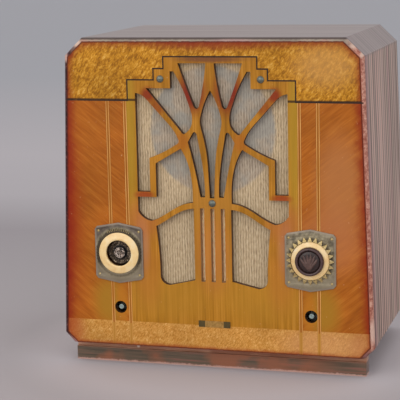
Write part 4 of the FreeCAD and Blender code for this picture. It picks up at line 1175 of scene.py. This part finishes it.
@dataclass
class Grille(Assembly):
    """The cloth stretched behind the fret."""

    thread_rise: float = 0.10 * MM
    thickness: float = 0.5 * MM
    cell: float = 1.1 * MM
    slack: float = 0.1 * MM
    band: float = 0.02

    def model(self) -> None:
        """Weave the cloth as a ribbed sheet that fills its CAD solid's place."""
        low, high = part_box("grille_cloth")
        middle = centre_of("grille_cloth")
        width, height = high.x - low.x, high.z - low.z
        clear_selection()
        bpy.ops.mesh.primitive_grid_add(
            x_subdivisions=round(width / self.cell), y_subdivisions=round(height / (self.cell * 3)), size=1,
            location=(middle.x, middle.y - self.slack, middle.z), rotation=(math.pi / 2, 0, 0))
        cloth = bpy.context.object
        cloth.name = "ribbed_cloth"
        cloth.scale = (width, height, 1)
        bpy.ops.object.transform_apply(location=True, rotation=True, scale=True)
        ribs = bpy.data.textures.new("ribs", "WOOD")
        ribs.wood_type = "BANDNOISE"
        ribs.noise_scale = self.band
        ribs.turbulence = 2.0
        shape(cloth, "DISPLACE", texture=ribs, strength=self.thread_rise, mid_level=0.5)
        shape(cloth, "SOLIDIFY", thickness=self.thickness, offset=0.0)
        bpy.ops.object.shade_smooth()
        settle(cloth, CLOTH, "cabinet", "grille_fabric", "grille_cloth")


@dataclass
class Dials(Assembly):
    """The two dial plates with their rings, rays and nails, and the one knob that is left."""

    finishes = {"escutcheon_pins": BRASS}
    ring_inner_mm: float = 16.6
    knob_ribs: int = 6
    knob_fan_deg: float = 14.0
    rib_half_width: float = 1.75 * MM
    rib_rise: float = 0.95 * MM
    rib_reach: float = 22.5 * MM
    rib_foot: float = 11.0 * MM
    ray_length: float = 5.4 * MM
    ray_gap_mm: float = 0.4
    ray_foot: float = 0.25 * MM
    ray_taper: float = 0.12
    ray_flatness: float = 0.55

    def plate(self, side: str, finish: Finish) -> None:
        """Make one pressed plate with rounded edges."""
        node = f"{side}_escutcheon"
        settle(eased(f"{side}_dial_plate", node, 0.35 * MM), finish, "cabinet", "escutcheon_metal", node)

    def ring(self, side: str) -> None:
        """Turn one ivory ring: a flat crown that rolls over to its outer edge."""
        node = f"{side}_dial_ring"
        outer, back = round_mm(node)
        inner = self.ring_inner_mm
        width = outer - inner
        profile = [
            (inner, back), (inner, 0.9), (inner + 0.25, 0.3), (inner + 0.9, 0.0), (inner + width * 0.3, 0.0),
            (inner + width * 0.36, 0.25), (inner + width * 0.6, 0.55), (inner + width * 0.85, 1.15),
            (outer - 0.12, 1.75), (outer, 2.3), (outer, back)]
        ring = turned(f"{side}_ivory_ring", node, profile, ring=True, sides=128)
        soften(ring, 0.0)
        settle(ring, IVORY, "cabinet", "ivory_plastic", node)

    def rays(self, side: str, count: int, start_deg: float, end_deg: float, width: float) -> None:
        """Set thin brass rays round a ring.

        Args:
            side: "left" or "right".
            count: How many rays.
            start_deg: Where the first one stands, anticlockwise from +X.
            end_deg: Where the last one stands.
            width: Each ray's width at its foot, in metres.
        """
        centre = centre_of(f"{side}_dial_ring")
        plate_low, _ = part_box(f"{side}_escutcheon")
        radius = (round_mm(f"{side}_dial_ring")[0] + self.ray_gap_mm) * MM
        made = []
        for k in range(count):
            angle = math.radians(start_deg + (end_deg - start_deg) * k / max(count - 1, 1))
            clear_selection()
            bpy.ops.mesh.primitive_cone_add(
                vertices=4, radius1=width / math.sqrt(2), radius2=width * self.ray_taper,
                depth=self.ray_length, location=(0, 0, radius + self.ray_length / 2),
                rotation=(0, 0, math.pi / 4))
            bpy.ops.object.transform_apply(location=True, rotation=True, scale=True)
            made.append(moved(bpy.context.object, Matrix.Diagonal((1, self.ray_flatness, 1, 1)),
                              Matrix.Rotation(math.pi / 2 - angle, 4, "Y"),
                              Matrix.Translation((centre.x, plate_low.y + self.ray_foot, centre.z))))
        rays = join(made)
        rays.name = f"{side}_dial_rays"
        soften(rays, 0.12 * MM, 1)
        settle(rays, BRASS, "cabinet", "escutcheon_metal")

    def knob(self) -> None:
        """Turn the knob's body, then press a fan of ribs into its face."""
        rim, deep = round_mm("volume_knob")
        back = deep - 4.0
        profile = [
            (4.0, 0.75), (9.0, 0.95), (12.0, 1.3), (13.1, 2.0), (13.5, 2.7), (13.9, 2.0), (14.5, 0.6),
            (15.6, 0.2), (16.8, 0.5), (rim - 0.4, 1.5), (rim, back - 1.2), (rim - 0.6, back), (7.0, back),
            (7.0, deep), (3.3, deep), (3.3, 3.2)]
        parts = [turned("moulded_knob", "volume_knob", profile, sides=120)]
        centre, front = centre_of("volume_knob"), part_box("volume_knob")[0].y
        foot = Vector((centre.x, front + self.rib_rise, centre.z - self.rib_foot))
        for k in range(self.knob_ribs):
            angle = math.radians((k - (self.knob_ribs - 1) / 2) * self.knob_fan_deg)
            reach = self.rib_reach * math.cos(angle) ** 0.8
            clear_selection()
            bpy.ops.mesh.primitive_uv_sphere_add(segments=20, ring_count=14, radius=1.0)
            parts.append(moved(
                bpy.context.object, Matrix.Diagonal((self.rib_half_width, self.rib_rise, reach / 2, 1)),
                Matrix.Translation((0, 0, reach / 2)), Matrix.Rotation(angle, 4, "Y"),
                Matrix.Translation(foot)))
        knob = join(parts)
        soften(knob, 0.0)
        settle(knob, BAKELITE, "volume_knob", "knob_bakelite", "volume_knob")

    def model(self) -> None:
        """Make both dials and the knob."""
        self.plate("left", LEFT_PLATE)
        self.plate("right", RIGHT_PLATE)
        self.ring("left")
        self.ring("right")
        self.rays("left", 13, 62.0, 118.0, 0.9 * MM)
        self.rays("right", 24, 0.0, 360.0 - 360.0 / 24, 5.6 * MM)
        self.knob()


@dataclass
class Controls(Assembly):
    """The potentiometers, the switch and their shafts behind the panel."""

    finishes = {
        "control_bracket": SHEET_STEEL, "volume_control": SHEET_STEEL, "tone_control": SHEET_STEEL,
        "band_switch": SHEET_STEEL, "volume_shaft": SHAFT, "control_nuts": NUTS,
    }
    tip_mm: float = 0.5
    groove_mm: float = 0.3

    def shaft(self, node: str, body: str) -> None:
        """Turn one bare shaft with a dimpled, rounded tip and a groove round it."""
        radius, deep = round_mm(node)
        neck = radius - self.groove_mm
        profile = [(0.7, 0.5), (1.0, 0.0), (radius - self.tip_mm, 0.0), (radius - 0.1, 0.25), (radius, 0.8),
                   (radius, 7.0), (neck, 7.2), (neck, 8.0), (radius, 8.2), (radius, deep)]
        shaft = turned(f"turned_{node}", node, profile, sides=48)
        soften(shaft, 0.0)
        settle(shaft, SHAFT, body, "shaft_steel", node)

    def model(self) -> None:
        """Turn the two lower shafts."""
        self.shaft("tone_shaft", "tone_spindle")
        self.shaft("band_shaft", "band_spindle")


@dataclass
class Tuning(Assembly):
    """The two-section condenser and the worn end of its slow-motion drive."""

    finishes = {"gang_frame": SHEET_STEEL, "gang_stators": VANES, "gang_rotor": VANES, "tuning_spindle": HUB}
    shoulder_mm: float = 2.0

    def model(self) -> None:
        """Turn the drive's housing, with rolled rings on the face that shows in the left dial."""
        outer, back = round_mm("tuning_drive_housing")
        step = self.shoulder_mm
        profile = [
            (3.3, back), (3.3, 0.6), (3.9, 0.0), (5.0, 0.1), (5.4, 0.8), (6.0, 0.8), (6.5, 0.1), (7.4, 0.1),
            (8.0, 0.7), (8.0, step + 1.2), (10.6, step + 1.4), (11.0, step + 0.3), (11.7, step),
            (12.6, step + 0.5), (13.4, step), (outer - 0.5, step), (outer, step + 0.6), (outer, back)]
        housing = turned("drive_housing_face", "tuning_drive_housing", profile, ring=True)
        soften(housing, 0.0)
        settle(housing, HUB, "cabinet", "control_steel", "tuning_drive_housing")


@dataclass
class Loudspeaker(Assembly):
    """The baffle and the moving-coil loudspeaker with its output transformer."""

    finishes = {
        "speaker_baffle": BOARD, "speaker_gasket": GASKET, "speaker_basket": ENAMEL, "speaker_cone": CONE,
        "voice_coil": WINDING, "field_pot": ENAMEL, "field_coil": WINDING,
        "output_transformer_core": STACK, "output_transformer_coil": WINDING, "speaker_bolts": FASTENER,
        "speaker_nuts": FASTENER,
    }


@dataclass
class Chassis(Assembly):
    """The folded pan, its cans, transformer, terminals and grommet."""

    finishes = {
        "chassis_pan": SHEET_STEEL, "if_cans": CAN, "electrolytic_cans": CAN,
        "mains_transformer_core": STACK, "mains_transformer_coil": WINDING, "terminal_strip": LAMINATE,
        "mains_grommet": RUBBER, "chassis_bolts": FASTENER,
    }


@dataclass
class Valves(Assembly):
    """Five valves in their sockets."""

    finishes = {
        "valve_sockets": LAMINATE, "valve_bases": BASE, "valve_glass": GLASS, "valve_electrodes": ELECTRODE,
        "valve_top_caps": FASTENER,
    }


# ---- studio ----
@dataclass
class Studio:
    """The floor, the soft lights and the camera."""

    yaw: float = 16.57
    pitch: float = 10.164
    roll: float = -1.234
    eye: Vector = field(default_factory=lambda: Vector((0.4994, -1.7308 + FACE_Y, 0.5413)))
    lens_mm: float = 133.19
    world_strength: float = 0.9
    floor_size: float = 40.0

    def floor(self) -> None:
        """Lay a wide sheet of matt paper."""
        clear_selection()
        bpy.ops.mesh.primitive_plane_add(size=self.floor_size, location=(0, 0, 0))
        paper = bpy.context.object
        paper.name = "studio_floor"
        dress(paper, FLOOR)

    def lamp(self, name: str, place: Point3, target: Point3, size: float, watts: float, code: str) -> None:
        """Hang one soft box.

        Args:
            name: The lamp's name.
            place: Where it hangs.
            target: What it points at.
            size: Its side in metres.
            watts: Its power.
            code: Its colour.
        """
        data = bpy.data.lights.new(name, "AREA")
        data.size = size
        data.energy = watts
        data.color = tone(code)[:3]
        lamp = placed(name, data)
        lamp.location = place
        lamp.rotation_euler = (Vector(target) - Vector(place)).to_track_quat("-Z", "Y").to_euler()

    def lights(self) -> None:
        """Light the set evenly, a little more from the front and the left."""
        world = bpy.data.worlds.new("studio_air")
        bpy.context.scene.world = world
        world.use_nodes = True
        air = world.node_tree.nodes["Background"]
        air.inputs["Color"].default_value = tone("#F4F3F6")
        air.inputs["Strength"].default_value = self.world_strength
        self.lamp("overhead_box", (0.1, 0.2, 2.4), (0, 0, 0.3), 2.0, 5, "#FFFFFF")
        self.lamp("front_box", (-1.0, -2.4, 1.3), (0, 0, 0.2), 2.0, 18, "#FFFAF2")
        self.lamp("right_box", (1.9, -1.4, 1.0), (0, 0, 0.2), 1.6, 8, "#F8F8FF")

    def camera(self) -> None:
        """Aim the camera by its three angles."""
        yaw, pitch, roll = (math.radians(a) for a in (self.yaw, self.pitch, self.roll))
        ahead = Vector((-math.sin(yaw) * math.cos(pitch), math.cos(yaw) * math.cos(pitch), -math.sin(pitch)))
        right = Vector((math.cos(yaw), math.sin(yaw), 0))
        up = right.cross(ahead)
        x_axis = math.cos(roll) * right + math.sin(roll) * up
        y_axis = math.cos(roll) * up - math.sin(roll) * right
        data = bpy.data.cameras.new("camera")
        data.sensor_width = 36.0
        data.lens = self.lens_mm
        data.clip_start, data.clip_end = 0.05, 60.0
        camera = placed("camera", data)
        turn = Matrix((x_axis, y_axis, -ahead)).transposed().to_4x4()
        camera.matrix_world = Matrix.Translation(self.eye) @ turn
        bpy.context.scene.camera = camera

    def build(self) -> None:
        """Set up the studio."""
        self.floor()
        self.lights()
        self.camera()
        bpy.context.scene.view_settings.view_transform = "Standard"
        logging.info("studio ready")


def main() -> None:
    """Build the set's groups in order, then the studio."""
    logging.basicConfig(level=logging.INFO, format="%(message)s")
    for group in (FrontPanel(), Cabinet(), Grille(), Loudspeaker(), Dials(), Controls(), Tuning(), Chassis(),
                  Valves()):
        logging.info("group %s", type(group).__name__)
        group.build()
    Studio().build()


if __name__ == "__main__":
    main()
